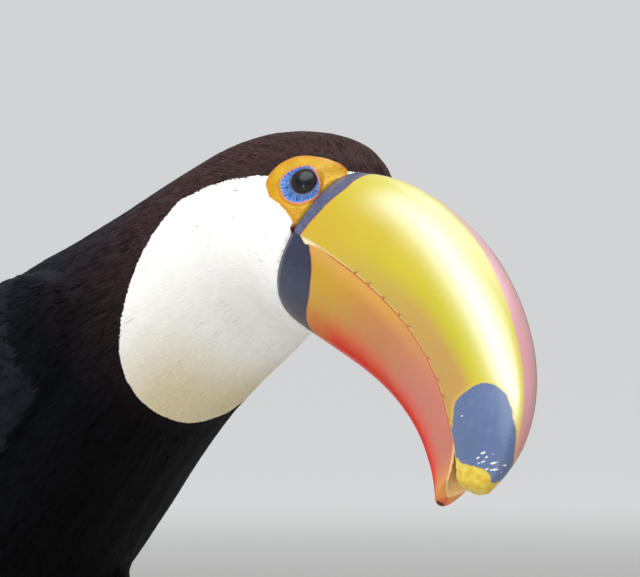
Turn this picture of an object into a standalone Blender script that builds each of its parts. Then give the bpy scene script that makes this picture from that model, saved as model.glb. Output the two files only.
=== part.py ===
"""Toco toucan, a still life-size figure standing on its own feet.

Metres, +Z up. The body faces +X, its left side is +Y, and the soles stand on z = 0.
The head has a frame of its own: its origin lies midway between the corners of the mouth, its X axis
runs out along the bill, Y to the bird's left and Z up through the crown.
"""

import math

import bmesh
import bpy
import numpy as np
from mathutils import Matrix, Vector

NAME = "toco_toucan"
MM = 0.001
GAP = 0.3 * MM  # clearance between pieces that touch

# Driving dimensions, in millimetres and degrees.
MIDDLE_Y = 10.7  # the body's middle plane; the turned head's reach centres the whole on y = 0
HEAD_AT = (130.6, MIDDLE_Y - 11.0, 218.0)  # the middle of the mouth's corners, above the floor
HEAD_YAW = -16.5  # turned to the bird's right
HEAD_PITCH = 13.7  # bill dipped
HEAD_ROLL = -28.6  # left cheek low

# Bill, in the head's frame: each edge is one cubic curve through the X-Z plane.
CULMEN = ((3.0, 35.0), (73.5, 49.3), (213.0, 3.8), (184.0, -44.5))
TOMIUM = ((0.0, 0.0), (61.6, -1.0), (134.0, -0.5), (173.5, -46.5))
GONYS = ((4.0, -28.0), (60.0, -30.4), (123.5, -24.0), (163.5, -57.0))
BILL_HALF_WIDTHS = ((0.0, 22.2), (0.3, 21.4), (0.6, 15.5), (0.85, 9.7), (1.0, 4.1))
BILL_SIDE_POWER = 0.73  # under 1 makes the sides of the bill full
BILL_HEIGHT_POWER = 0.9
PALATE_RISE = 2.5
TROUGH_DEPTH = 5.0
TIP_GAP = (-8.0, -1.5)  # how far the lower tip stops behind the hook of the upper
TIP_GAP_START = 0.9
BILL_STATIONS = 25
BILL_SIDES = 16
BILL_BLUNT = ((0.985, 1.0), (0.994, 0.86), (1.0, 0.55))  # places at the tip, and how much they draw in
BILL_CORE = 0.35  # the height, as a share of the section, that the tip draws in towards

# Eye, in the head's frame.
EYE_CENTRE = (-13.5, 20.6, 17.2)
EYE_RADIUS = 7.2

# Tail: its ovals give the place along it, then half width, rise and fall. The coverts fill its root.
TAIL_LENGTH = 152.0
TAIL_DROP = 15.0  # degrees below level
TAIL_OVALS = (
    (0.06, 18.0, 13.0, 15.0),
    (0.18, 20.5, 9.5, 13.5),
    (0.32, 23.5, 6.2, 9.5),
    (0.5, 27.5, 4.0, 5.6),
    (0.72, 31.2, 2.7, 3.4),
    (0.9, 32.2, 1.8, 2.2),
    (0.97, 28.5, 1.3, 1.6),
    (1.0, 20.0, 0.9, 1.1),
)
TAIL_SIDES = 16

# Legs.
STANCE = 31.0  # each foot's distance from the middle plane
FOOT_X = -12.0
HOCK = (-38.0, 29.0, 50.0)
TARSUS_RADIUS = 3.4
TOE_RADIUS = 3.5
TOE_TIP_RADIUS = 2.7
CLAW_RADIUS = 1.75
TOE_HEIGHT = 2.3
HUB_RISE = 1.7  # the toes' shared root above their tips
TOE_STEPS = 5
SHIN_STUB = 6.0  # bare leg above the hock
LEG_SPANS = (0.0, 0.12, 0.5, 0.85, 1.0)  # places from the hock to the foot
LEG_RADII = (3.9, 4.4, 3.7, TARSUS_RADIUS, 3.8, 4.3)  # the stub's end first
HIP = (-6.0, 16.0, 46.0)  # behind the shin's end, out from the middle plane, above the shin's end
THIGH_START = 7.0  # the feathers follow the shin this far before they widen
THIGH_SPANS = (0.35, 0.6, 0.8, 1.0)
THIGH_RADII = (4.6, 6.5, 11.5, 14.0, 14.0, 11.0)
# Name, length, heading from straight ahead and towards the outside, claw length.
TOES = (
    ("inner_front", 29.0, -14.0, 11.0),
    ("outer_front", 41.0, 12.0, 13.0),
    ("outer_back", 37.0, 152.0, 12.0),
    ("inner_back", 22.0, -160.0, 10.0),
)


def bezier(points, t):
    a, b, c, d = (np.array(p, float) for p in points)
    u = 1 - t
    return u**3 * a + 3 * u * u * t * b + 3 * u * t * t * c + t**3 * d


def head_matrix():
    turn = Matrix.Rotation(math.radians(HEAD_YAW), 4, "Z")
    dip = Matrix.Rotation(math.radians(HEAD_PITCH), 4, "Y")
    cock = Matrix.Rotation(math.radians(HEAD_ROLL), 4, "X")
    return Matrix.Translation(Vector(HEAD_AT) * MM) @ turn @ dip @ cock


HEAD = head_matrix()


def in_head(x, y, z):
    """A point given in millimetres in the head's frame, in world metres."""
    return HEAD @ (Vector((x, y, z)) * MM)


def clear_scene():
    for old in list(bpy.data.objects):
        bpy.data.objects.remove(old, do_unlink=True)


def collection(name):
    made = bpy.data.collections.new(name)
    bpy.context.scene.collection.children.link(made)
    return made


def material(name, colour, roughness):
    made = bpy.data.materials.new(name)
    made.use_nodes = True
    shader = made.node_tree.nodes["Principled BSDF"]
    shader.inputs["Base Color"].default_value = (*colour, 1.0)
    shader.inputs["Roughness"].default_value = roughness
    shader.inputs["Metallic"].default_value = 0.0
    return made


def finish_mesh(name, bm, mat, home):
    """Makes an object of a closed bmesh, with its faces pointing out."""
    bmesh.ops.recalc_face_normals(bm, faces=bm.faces)
    mesh = bpy.data.meshes.new(name)
    bm.to_mesh(mesh)
    bm.free()
    mesh.shade_smooth()
    mesh.set_sharp_from_angle(angle=math.radians(40))
    mesh.materials.append(mat)
    made = bpy.data.objects.new(name, mesh)
    home.objects.link(made)
    return made


def add_loft(bm, rings, start="cap", end="cap"):
    """Skins closed loops of points in order. Each end is one flat cap, or is left for the caller."""
    loops = [[bm.verts.new(p) for p in ring] for ring in rings]
    count = len(loops[0])
    for low, high in zip(loops, loops[1:]):
        for i in range(count):
            j = (i + 1) % count
            bm.faces.new((low[i], low[j], high[j], high[i]))
    if start == "cap":
        bm.faces.new(list(reversed(loops[0])))
    if end == "cap":
        bm.faces.new(loops[-1])
    return loops


def loft(name, rings, mat, home):
    bm = bmesh.new()
    add_loft(bm, rings)
    return finish_mesh(name, bm, mat, home)


def oval(centre, side, up, half_width, above, below, count, power=0.9):
    """A loop that starts at the right-hand end of its level line and goes over the top."""
    points = []
    for i in range(count):
        angle = math.tau * i / count
        across = -math.copysign(abs(math.cos(angle)) ** power, math.cos(angle))
        rise = math.copysign(abs(math.sin(angle)) ** power, math.sin(angle))
        height = above if rise > 0 else below
        points.append(centre + side * (across * half_width) + up * (rise * height))
    return points


# Head, neck and trunk are one run of ovals from the bill's base to the root of the tail.


def head_key(x, z, half_width, top, bottom, lean=0.0):
    """An oval across the head: x, z is its middle, top and bottom its heights in the head's frame."""
    turn = HEAD.to_3x3()
    up = turn @ Vector((math.sin(math.radians(lean)), 0, math.cos(math.radians(lean))))
    ahead = turn @ Vector((math.cos(math.radians(lean)), 0, -math.sin(math.radians(lean))))
    return [in_head(x, 0, z), ahead, up, half_width * MM, (top - z) * MM, (z - bottom) * MM]


def body_key(x, y, z, slope, half_width, above, below, yaw=0.0, roll=0.0):
    """An oval across the neck or trunk, placed from the middle of the mouth's corners."""
    turn = (
        Matrix.Rotation(math.radians(yaw), 3, "Z")
        @ Matrix.Rotation(math.radians(-slope), 3, "Y")
        @ Matrix.Rotation(math.radians(roll), 3, "X")
    )
    centre = (Vector(HEAD_AT) + Vector((x, y, z))) * MM
    ahead = turn @ Vector((1, 0, 0))
    up = turn @ Vector((0, 0, 1))
    return [centre, ahead, up, half_width * MM, above * MM, below * MM]


BODY_KEYS = [
    head_key(0.0, 0.0, 23.0, 36.2, -29.0),
    head_key(-11.0, 3.0, 26.6, 38.4, -31.5),
    head_key(-28.0, 4.0, 30.0, 42.8, -34.0, -6),
    body_key(-50, 10, 8, 8, 33.5, 41.0, 38, -11, -18),
    body_key(-76, 11, -3.5, 17, 37, 42.5, 39, -5, -9),
    body_key(-101.6, 11, -15.5, 25, 41, 43, 40, -1, -3),
    body_key(-131.5, 11, -32.5, 31, 45.5, 49, 41.5),
    body_key(-160, 11, -52, 36, 49, 58.5, 44),
    body_key(-190, 11, -76, 40, 52, 59.5, 47),
    body_key(-218, 11, -101, 42, 50, 52, 49),
    body_key(-243, 11, -124, 42, 42, 38, 43),
    body_key(-264, 11, -142, 38, 29, 27, 29),
    body_key(-280, 11, -153, 33, 18, 15, 16),
]
FACE_END = 0.35
HEAD_END = 3.15
NECK_END = 5.9
TRUNK_END = len(BODY_KEYS) - 1.0
BODY_SIDES = 26
HEAD_STEPS = 9
NECK_STEPS = 9
TRUNK_STEPS = 19


def spline(values, t):
    """A smooth curve through the values, read at t, with natural ends."""
    last = len(values) - 1
    i = min(int(t), last - 1)
    u = t - i
    before = values[i - 1] if i > 0 else values[0] * 2 - values[1]
    after = values[i + 2] if i + 2 <= last else values[last] * 2 - values[last - 1]
    a, b = values[i], values[i + 1]
    rise = (b - before) * 0.5
    fall = (after - a) * 0.5
    return (
        a * (2 * u**3 - 3 * u**2 + 1)
        + rise * (u**3 - 2 * u**2 + u)
        + b * (3 * u**2 - 2 * u**3)
        + fall * (u**3 - u**2)
    )


def body_frame(t):
    """Middle, ahead, side and up vectors, half width, rise and drop of the body's oval at t."""
    centre, ahead, up, width, above, below = (
        spline([key[k] for key in BODY_KEYS], t) for k in range(6)
    )
    ahead = ahead.normalized()
    side = up.cross(ahead).normalized()
    up = ahead.cross(side)
    return centre, ahead, side, up, width, above, below


def body_ring(t, shift=0.0, grow=0.0, count=BODY_SIDES):
    centre, ahead, side, up, width, above, below = body_frame(t)
    return oval(centre + ahead * shift, side, up, width + grow, above + grow, below + grow, count)


def body_rings(start, end, steps):
    """Ovals from start to end, with half the gap taken off both cut faces."""
    rings = [body_ring(start, -GAP / 2)]
    rings += [body_ring(start + (end - start) * i / steps) for i in range(1, steps)]
    rings.append(body_ring(end, GAP / 2))
    return rings


def bill_base_x(z):
    """How far the bill's base stands ahead of the mouth's corner, at a height in the head's frame."""
    edge = CULMEN[0] if z > 0 else GONYS[0]
    return edge[0] * z / edge[1]


def face_ring():
    """The head's front loop, which follows the two planes of the bill's base."""
    ring = []
    for point in body_ring(0.0):
        x, y, z = (HEAD.inverted() @ point) / MM
        ring.append(in_head(bill_base_x(z) - GAP / MM, y, z))
    return ring


def make_head(mat, home, hidden):
    bm = bmesh.new()
    rings = [face_ring()] + body_rings(FACE_END, HEAD_END, HEAD_STEPS)
    loops = add_loft(bm, rings, start="open")
    front = loops[0]
    half = BODY_SIDES // 2
    bm.faces.new(list(reversed(front[: half + 1])))
    bm.faces.new(list(reversed(front[half:] + front[:1])))
    head = finish_mesh("head", bm, mat, home)
    for side in (-1, 1):
        socket = eye_ball("socket", side, EYE_RADIUS + GAP / MM, mat, hidden)
        cut(head, socket, "DIFFERENCE")
    return head


def eye_ball(name, side, radius, mat, home):
    bm = bmesh.new()
    x, y, z = EYE_CENTRE
    place = Matrix.Translation(in_head(x, side * y, z)) @ HEAD.to_3x3().to_4x4()
    place = place @ Matrix.Rotation(math.radians(90), 4, "X")
    bmesh.ops.create_uvsphere(bm, u_segments=16, v_segments=10, radius=radius * MM, matrix=place)
    return finish_mesh(name, bm, mat, home)


def cut(target, cutter, operation):
    cutter.hide_render = True
    cutter.display_type = "WIRE"
    step = target.modifiers.new(operation.lower(), "BOOLEAN")
    step.operation = operation
    step.object = cutter
    return step


# Bill.


def bill_half_width(s):
    stations = [w[0] for w in BILL_HALF_WIDTHS]
    widths = np.array([w[1] for w in BILL_HALF_WIDTHS])
    place = np.interp(s, stations, np.arange(len(stations)))
    return float(spline(widths, float(place)))


def bill_arc(edge, ridge, half_width, count):
    """Points from the right-hand edge over the ridge to the left-hand edge, in the head's frame."""
    points = []
    for i in range(count + 1):
        angle = math.pi * i / count
        across = math.copysign(abs(math.cos(angle)) ** BILL_SIDE_POWER, -math.cos(angle))
        rise = abs(math.sin(angle)) ** BILL_HEIGHT_POWER
        x, z = edge + (ridge - edge) * rise
        points.append((x, across * half_width, z))
    return points


def bill_floor(edge, inward, half_width, count):
    """Points back from the left-hand edge to the right, hollowed by the vector inward."""
    points = []
    for i in range(1, count):
        across = 1 - 2 * i / count
        x, z = edge + inward * (1 - across**2)
        points.append((x, across * half_width, z))
    return points


def unit(vector):
    return vector / np.hypot(*vector)


def lower_edge(s):
    opening = max(0.0, (s - TIP_GAP_START) / (1 - TIP_GAP_START)) ** 1.6
    return bezier(TOMIUM, s) + np.array(TIP_GAP) * opening


def bill_section(s, edge, ridge, width, hollow, shrink):
    across = unit(ridge - edge)
    edge = edge + across * (GAP / MM / 2)
    middle = edge + (ridge - edge) * BILL_CORE
    edge, ridge = middle + (edge - middle) * shrink, middle + (ridge - middle) * shrink
    inward = across * min(hollow, 0.3 * np.hypot(*(ridge - edge)))
    arc = bill_arc(edge, ridge, width * shrink, BILL_SIDES)
    floor = bill_floor(edge, inward, width * shrink, 6)
    return [in_head(*p) for p in arc + floor]


def bill_stations():
    """Places along the bill, closer together where it hooks, and how much the last ones draw in."""
    last = BILL_BLUNT[0][0]
    for i in range(BILL_STATIONS):
        u = i / BILL_STATIONS
        yield (1 - (1 - u) ** 1.25) * last, 1.0
    yield from BILL_BLUNT


def make_bill(name, ridge_curve, edge_at, hollow, mat, home):
    rings = []
    for s, shrink in bill_stations():
        edge = edge_at(s)
        ridge = bezier(ridge_curve, s)
        rings.append(bill_section(s, edge, ridge, bill_half_width(s), hollow, shrink))
    return loft(name, rings, mat, home)


# Wings lie on the trunk, from the shoulder to the root of the tail.

WING_THICKNESS = 7.0
WING_CLEARANCE = 1.2
WING_FROM = 5.55
WING_TO = TRUNK_END + 1.0
WING_STEPS = 17
WING_COLUMNS = 9
# Share of the wing's length, then its upper and lower edges in degrees down from the back's ridge.
WING_EDGES = (
    (0.0, 70, 84),
    (0.03, 58, 95),
    (0.1, 44, 102),
    (0.27, 29, 106),
    (0.5, 17, 104),
    (0.75, 11, 90),
    (0.92, 10, 66),
    (1.0, 13, 44),
)
# Behind this place the wings keep more room from the tapering rump, in millimetres for each step.
RUMP_FROM = 9.0
RUMP_ROOM = 2.8
# Past the trunk's end the guide runs on by so much a step, and narrows and sinks.
PAST_RUN = 24.0
PAST_NARROWING = 6.0
PAST_SINKING = 3.0


def wing_guide(t):
    """The surface that the wing lies on: the trunk, and past it a slower taper towards the tail."""
    centre, ahead, side, up, width, above, below = body_frame(min(t, TRUNK_END))
    room = max(t - RUMP_FROM, 0.0) * RUMP_ROOM * MM
    past = max(t - TRUNK_END, 0.0) * MM
    centre = centre - ahead * (past * PAST_RUN)
    return centre, side, up, width + room - past * PAST_NARROWING, above + room - past * PAST_SINKING


def wing_point(t, degrees, lift, side_sign):
    centre, side, up, width, above = wing_guide(t)
    angle = math.radians(degrees)
    across = math.copysign(abs(math.sin(angle)) ** 0.9, math.sin(angle))
    rise = math.copysign(abs(math.cos(angle)) ** 0.9, math.cos(angle))
    place = side * (side_sign * across * (width + lift)) + up * (rise * (above + lift))
    return centre + place


def make_wing(name, side_sign, mat, home):
    stations = [e[0] for e in WING_EDGES]
    uppers = np.array([float(e[1]) for e in WING_EDGES])
    lowers = np.array([float(e[2]) for e in WING_EDGES])
    rings = []
    for i in range(WING_STEPS + 1):
        u = i / WING_STEPS
        t = WING_FROM + (WING_TO - WING_FROM) * u
        place = float(np.interp(u, stations, np.arange(len(stations))))
        upper, lower = spline(uppers, place), spline(lowers, place)
        swell = (0.25 + 0.75 * math.sin(math.pi * min(u * 1.25 + 0.12, 1.0)) ** 0.7) * WING_THICKNESS
        outer, inner = [], []
        for j in range(WING_COLUMNS + 1):
            v = j / WING_COLUMNS
            degrees = upper + (lower - upper) * v
            bulge = 0.18 + 0.82 * (1 - (2 * v - 1) ** 4)
            outer.append(wing_point(t, degrees, (WING_CLEARANCE + 0.1 + swell * bulge) * MM, side_sign))
            inner.append(wing_point(t, degrees, WING_CLEARANCE * MM, side_sign))
        rings.append(outer + inner[::-1])
    return loft(name, rings, mat, home)


def make_tail(mat, home):
    """A blunt blade of laid feathers, thickest and narrowest at its root."""
    centre, ahead, side, up, width, above, below = body_frame(TRUNK_END)
    drop = math.radians(TAIL_DROP)
    back = Vector((-math.cos(drop), 0, -math.sin(drop)))
    top = side.cross(back).normalized()
    if top.z < 0:
        top = -top
    rings = [oval(centre - ahead * GAP, side, up, width, above, below, TAIL_SIDES)]
    for u, half_width, rise, fall in TAIL_OVALS:
        middle = centre + back * (u * TAIL_LENGTH * MM)
        rings.append(oval(middle, side, top, half_width * MM, rise * MM, fall * MM, TAIL_SIDES))
    return loft("tail", rings, mat, home)


# Legs.


def tube(bm, points, radii, sides=10):
    """A round bar through the points, with flat ends square to its run."""
    rings = []
    for i, point in enumerate(points):
        before = points[max(i - 1, 0)]
        after = points[min(i + 1, len(points) - 1)]
        ahead = (after - before).normalized()
        side = ahead.cross(Vector((0, 0, 1)))
        if side.length < 0.2:
            side = ahead.cross(Vector((0, 1, 0)))
        side.normalize()
        up = side.cross(ahead)
        ring = []
        for k in range(sides):
            angle = math.tau * (k + 0.5) / sides
            ring.append(point + (side * math.cos(angle) + up * math.sin(angle)) * radii[i])
        rings.append(ring)
    add_loft(bm, rings)


def toe_path(heading, length, side_sign):
    """A low arch from the foot's hub to the claw, in millimetres."""
    turn = math.radians(heading) * side_sign
    run = Vector((math.cos(turn), math.sin(turn), 0))
    hub = foot_hub(side_sign)
    path = []
    for i in range(TOE_STEPS + 1):
        u = i / TOE_STEPS
        arch = HUB_RISE * (1 - u) ** 2 + 0.5 * math.sin(math.pi * min(u * 1.6, 1)) * (1 - u)
        path.append(Vector((hub.x, hub.y, 0)) + run * (length * u) + Vector((0, 0, TOE_HEIGHT + arch)))
    return path


def toe_radius(u):
    """A toe's radius along it, swelling a little over each pad."""
    pads = 0.25 * math.sin(math.tau * 1.5 * u + 0.6)
    return TOE_RADIUS + (TOE_TIP_RADIUS - TOE_RADIUS) * u + pads * (1 - u)


def foot_hub(side_sign):
    """Where the toes meet the leg."""
    return Vector((FOOT_X, MIDDLE_Y + side_sign * STANCE, TOE_HEIGHT + HUB_RISE))


def hock_point(side_sign):
    return Vector((FOOT_X + HOCK[0], MIDDLE_Y + side_sign * HOCK[1], HOCK[2]))


def make_leg(name, side_sign, mat, home, hidden):
    hock = hock_point(side_sign)
    run = foot_hub(side_sign) - hock
    bm = bmesh.new()
    path = [hock - run.normalized() * SHIN_STUB] + [hock + run * u for u in LEG_SPANS]
    tube(bm, [p * MM for p in path], [r * MM for r in LEG_RADII], 12)
    leg = finish_mesh(name, bm, mat, home)
    for toe, length, heading, _ in TOES:
        path = toe_path(heading, length, side_sign)
        bm = bmesh.new()
        tube(bm, [p * MM for p in path], [toe_radius(i / TOE_STEPS) * MM for i in range(len(path))], 10)
        part = finish_mesh(name + "_" + toe, bm, mat, hidden)
        cut(leg, part, "UNION")
    bm = bmesh.new()
    hub = foot_hub(side_sign)
    slab = Matrix.Translation(Vector((hub.x, hub.y, -10.0)) * MM) @ Matrix.Diagonal((0.2, 0.1, 0.02, 1))
    bmesh.ops.create_cube(bm, size=1, matrix=slab)
    floor = finish_mesh(name + "_floor", bm, mat, hidden)
    cut(leg, floor, "DIFFERENCE")
    return leg


def make_claws(side_name, side_sign, mat, home):
    for toe, length, heading, claw in TOES:
        path = toe_path(heading, length, side_sign)
        end = path[-1]
        run = (path[-1] - path[-2]).normalized()
        points, radii = [], []
        for i in range(TOE_STEPS + 1):
            u = i / TOE_STEPS
            rise = 1.4 * u * math.sin(math.pi * u * 0.8) - 2.5 * u * u
            points.append((end + run * (GAP * 1.4 / MM + claw * u) + Vector((0, 0, rise))) * MM)
            radii.append((CLAW_RADIUS * (1 - u) ** 0.8 + 0.3) * MM)
        bm = bmesh.new()
        tube(bm, points, radii, 8)
        finish_mesh(f"claw_{side_name}_{toe}", bm, mat, home)


def make_thigh(name, side_sign, mat, home, blocker):
    """The feathered upper leg, trimmed where it meets the belly."""
    hock = hock_point(side_sign)
    run = (hock - foot_hub(side_sign)).normalized()
    shin_end = hock + run * (SHIN_STUB + GAP / MM)
    hip = Vector((shin_end.x + HIP[0], MIDDLE_Y + side_sign * HIP[1], shin_end.z + HIP[2]))
    path = [shin_end, shin_end + run * THIGH_START] + [shin_end + (hip - shin_end) * u for u in THIGH_SPANS]
    bm = bmesh.new()
    tube(bm, [p * MM for p in path], [r * MM for r in THIGH_RADII], 14)
    thigh = finish_mesh(name, bm, mat, home)
    cut(thigh, blocker, "DIFFERENCE")
    return thigh


def main():
    clear_scene()
    home = collection(NAME)
    hidden = collection("cutters")
    dark = material("black_plumage", (0.006, 0.007, 0.011), 0.7)
    brown = material("crown_plumage", (0.03, 0.018, 0.018), 0.75)
    white = material("bib_plumage", (0.9, 0.88, 0.82), 0.8)
    upper = material("upper_bill_horn", (0.75, 0.6, 0.12), 0.28)
    lower = material("lower_bill_horn", (0.72, 0.2, 0.06), 0.3)
    glass = material("eye_gloss", (0.01, 0.007, 0.006), 0.05)
    scale = material("leg_skin", (0.12, 0.17, 0.23), 0.6)
    claw = material("claw_horn", (0.02, 0.02, 0.022), 0.4)

    make_head(brown, home, hidden)
    loft("neck", body_rings(HEAD_END, NECK_END, NECK_STEPS), white, home)
    loft("trunk", body_rings(NECK_END, TRUNK_END, TRUNK_STEPS), dark, home)
    spans = [NECK_END + (TRUNK_END - NECK_END) * i / TRUNK_STEPS for i in range(TRUNK_STEPS + 1)]
    blocker = loft("trunk_room", [body_ring(t, 0, GAP * 1.6) for t in spans], dark, hidden)
    make_bill("bill_upper", CULMEN, lambda s: bezier(TOMIUM, s), PALATE_RISE, upper, home)
    make_bill("bill_lower", GONYS, lower_edge, TROUGH_DEPTH, lower, home)
    make_tail(dark, home)
    for side_name, side_sign in (("left", 1), ("right", -1)):
        eye_ball("eye_" + side_name, side_sign, EYE_RADIUS, glass, home)
        make_wing("wing_" + side_name, side_sign, dark, home)
        make_leg("leg_" + side_name, side_sign, scale, home, hidden)
        make_thigh("thigh_" + side_name, side_sign, dark, home, blocker)
        make_claws(side_name, side_sign, claw, home)


main()
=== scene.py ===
"""Looks of a toco toucan: skin, plumage, bill, eyes and feet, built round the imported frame.

Lengths are millimetres here and metres in the meshes. The head has a frame of its own: its origin lies midway
between the corners of the mouth, X runs out along the bill, Y to the bird's left and Z up through the crown.
"""

import math
from contextlib import contextmanager

import bmesh
import bpy
import numpy as np
from mathutils import Matrix, Vector, noise
from mathutils.bvhtree import BVHTree
from mathutils.kdtree import KDTree


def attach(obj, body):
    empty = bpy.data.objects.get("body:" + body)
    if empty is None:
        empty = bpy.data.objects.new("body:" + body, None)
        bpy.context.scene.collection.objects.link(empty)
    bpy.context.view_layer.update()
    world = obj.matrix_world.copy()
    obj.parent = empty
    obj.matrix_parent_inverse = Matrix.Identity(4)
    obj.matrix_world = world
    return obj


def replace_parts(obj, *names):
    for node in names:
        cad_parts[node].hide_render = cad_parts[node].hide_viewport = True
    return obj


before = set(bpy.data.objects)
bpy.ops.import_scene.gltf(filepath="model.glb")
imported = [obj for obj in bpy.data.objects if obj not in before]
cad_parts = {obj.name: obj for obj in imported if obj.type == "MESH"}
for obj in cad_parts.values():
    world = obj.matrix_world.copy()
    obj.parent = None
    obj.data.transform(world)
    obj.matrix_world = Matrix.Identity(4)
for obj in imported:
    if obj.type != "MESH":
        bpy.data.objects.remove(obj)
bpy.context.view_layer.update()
MM = 0.001
SIDES = (("left", 1), ("right", -1))


# ---- small tools


def length(v):
    return np.linalg.norm(v, axis=-1)


def unit(v):
    return v / np.maximum(length(v)[..., None], 1e-9)


def smooth(t):
    t = np.clip(t, 0.0, 1.0)
    return t * t * (3 - 2 * t)


def ramp(value, low, high):
    """0 where value is at low or before, 1 at high or past, smooth between."""
    return smooth((value - low) / (high - low))


def bell(value, width):
    return np.exp(-((value / width) ** 2))


def mix(a, b, t):
    return a * (1 - t) + b * t


def bezier(points, t):
    a, b, c, d = (np.array(p, float) for p in points)
    t = np.asarray(t, float)[..., None]
    u = 1 - t
    return u**3 * a + 3 * u * u * t * b + 3 * u * t * t * c + t**3 * d


def spline(values, t):
    """Smooth curve through the rows of values, read at each t, with natural ends."""
    values, t = np.asarray(values, float), np.asarray(t, float)
    padded = np.concatenate((values[:1] * 2 - values[1:2], values, values[-1:] * 2 - values[-2:-1]))
    i = np.clip(t.astype(int), 0, len(values) - 2)
    u = np.clip(t - i, 0, 1)
    if values.ndim > 1:
        u = u[..., None]
    before, a, b, after = (padded[i + k] for k in range(4))
    rise, fall = (b - before) * 0.5, (after - a) * 0.5
    start, end = 2 * u**3 - 3 * u**2 + 1, 3 * u**2 - 2 * u**3
    return start * a + (u**3 - 2 * u**2 + u) * rise + end * b + (u**3 - u**2) * fall


def through(rows, x, column=1):
    """Smooth curve through the rows, which give an x and then one or more heights."""
    xs = [row[0] for row in rows]
    return spline([row[column] for row in rows], np.interp(x, xs, range(len(xs))))


def run_along(points):
    """Distance run along a line of points."""
    return np.concatenate(([0], np.cumsum(length(np.diff(points, axis=0)))))


def wobble(points, scale, seed=0):
    """Smooth noise from -1 to 1 at each point, with features about scale across."""
    offset = Vector((seed * 17.3, seed * 5.1, seed * 9.7))
    return np.array([noise.noise(Vector(p) / scale + offset) for p in np.asarray(points, float)])


def loop_distance(points, corners, steps=24, chunk=20000):
    """Signed distance in a plane from a smooth closed outline through the corners; negative inside."""
    corners = np.array(corners, float)
    t = np.arange(len(corners) * steps) / steps
    outline = spline(np.concatenate((corners[-1:], corners, corners[:2])), t + 1)
    nxt = np.roll(outline, -1, axis=0)
    along = nxt - outline
    rise = np.where(along[:, 1] == 0, 1e-9, along[:, 1])
    result = np.empty(len(points))
    for start in range(0, len(points), chunk):
        p = points[start : start + chunk, None]
        share = np.clip(((p - outline) * along).sum(-1) / (along**2).sum(-1), 0, 1)
        gap = length(p - outline - along * share[..., None]).min(1)
        crosses = (outline[:, 1] > p[..., 1]) != (nxt[:, 1] > p[..., 1])
        at = outline[:, 0] + (p[..., 1] - outline[:, 1]) / rise * along[:, 0]
        inside = (crosses & (p[..., 0] < at)).sum(1) % 2 == 1
        result[start : start + chunk] = np.where(inside, -gap, gap)
    return result


# ---- meshes and objects


def add_object(name, data):
    made = bpy.data.objects.new(name, data)
    bpy.context.scene.collection.objects.link(made)
    return made


@contextmanager
def editing(mesh):
    """The mesh opened for editing, and written back at the end."""
    shape = bmesh.new()
    shape.from_mesh(mesh)
    yield shape
    shape.to_mesh(mesh)
    shape.free()


def new_mesh(name, shape):
    mesh = bpy.data.meshes.new(name)
    shape.to_mesh(mesh)
    shape.free()
    return mesh


def cad_shape(name):
    """A CAD node's mesh opened for editing, with its corners joined."""
    shape = bmesh.new()
    shape.from_mesh(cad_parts[name].data)
    bmesh.ops.remove_doubles(shape, verts=shape.verts, dist=1e-6)
    return shape


def modified(made, kind, **settings):
    """The object's mesh with one modifier applied."""
    added = made.modifiers.new("shape", kind)
    for key, value in settings.items():
        setattr(added, key, value)
    mesh = bpy.data.meshes.new_from_object(made.evaluated_get(bpy.context.evaluated_depsgraph_get()))
    made.modifiers.clear()
    return mesh


def make_object(name, points, faces, material, values=None, uv=None):
    """A smooth mesh object from points in millimetres, with numbers for each point and uv for each corner."""
    mesh = bpy.data.meshes.new(name)
    mesh.from_pydata((points * MM).tolist(), [], faces)
    made = finish_object(add_object(name, mesh), material, values)
    if uv is not None:
        mesh.uv_layers.new(name="OFBake").data.foreach_set("uv", np.asarray(uv, np.float32).ravel())
    return made


def finish_object(made, material, values=None):
    mesh = made.data
    mesh.shade_smooth()
    mesh.materials.clear()
    mesh.materials.append(material)
    for key, numbers in (values or {}).items():
        mesh.attributes.new(key, "FLOAT", "POINT").data.foreach_set("value", np.asarray(numbers, np.float32))
    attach(made, "root")
    return made


def read_all(items, key, width, kind=np.float32):
    """One value of every item of a mesh, a row for each."""
    flat = np.empty(len(items) * width, kind)
    items.foreach_get(key, flat)
    return flat.reshape(-1, width)


def coordinates(mesh):
    """The mesh's points in millimetres."""
    return read_all(mesh.vertices, "co", 3).astype(float) / MM


def set_coordinates(mesh, points):
    mesh.vertices.foreach_set("co", (points * MM).astype(np.float32).ravel())
    mesh.update()


def normals(mesh):
    return read_all(mesh.vertex_normals, "vector", 3).astype(float)


def relax(mesh, points, rounds, fixed=None):
    """Evens the points out along the mesh's edges. The second, outward step keeps the volume."""
    a, b = read_all(mesh.edges, "vertices", 2, np.int32).T
    n = len(points)
    count = np.maximum(np.bincount(a, minlength=n) + np.bincount(b, minlength=n), 1)[:, None]
    for _ in range(rounds):
        for step in (0.5, -0.52):
            totals = [np.bincount(a, points[b, k], n) + np.bincount(b, points[a, k], n) for k in range(3)]
            moved = points + (np.stack(totals, 1) / count - points) * step
            points = moved if fixed is None else mix(moved, points, fixed[:, None])
    return points


def close_grid(points):
    """Faces that skin a stack of closed loops and cap both ends."""
    rows, columns = points.shape[:2]
    ids = np.arange(rows * columns).reshape(rows, columns)
    nxt = np.roll(ids, -1, axis=1)
    quads = np.stack((ids[:-1], nxt[:-1], nxt[1:], ids[1:]), -1).reshape(-1, 4)
    return quads.tolist() + [ids[0, ::-1].tolist(), ids[-1].tolist()]


def face_out(made):
    """Turns the faces of a closed mesh outward."""
    with editing(made.data) as shape:
        bmesh.ops.recalc_face_normals(shape, faces=shape.faces)


# ---- sizes shared with the solids


def turned(yaw, pitch, roll):
    """Turn matrix from degrees: roll about X first, then pitch about Y and yaw about Z."""
    x, y, z = (Matrix.Rotation(math.radians(a), 3, axis) for a, axis in zip((roll, pitch, yaw), "XYZ"))
    return np.array(z @ y @ x)


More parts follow.
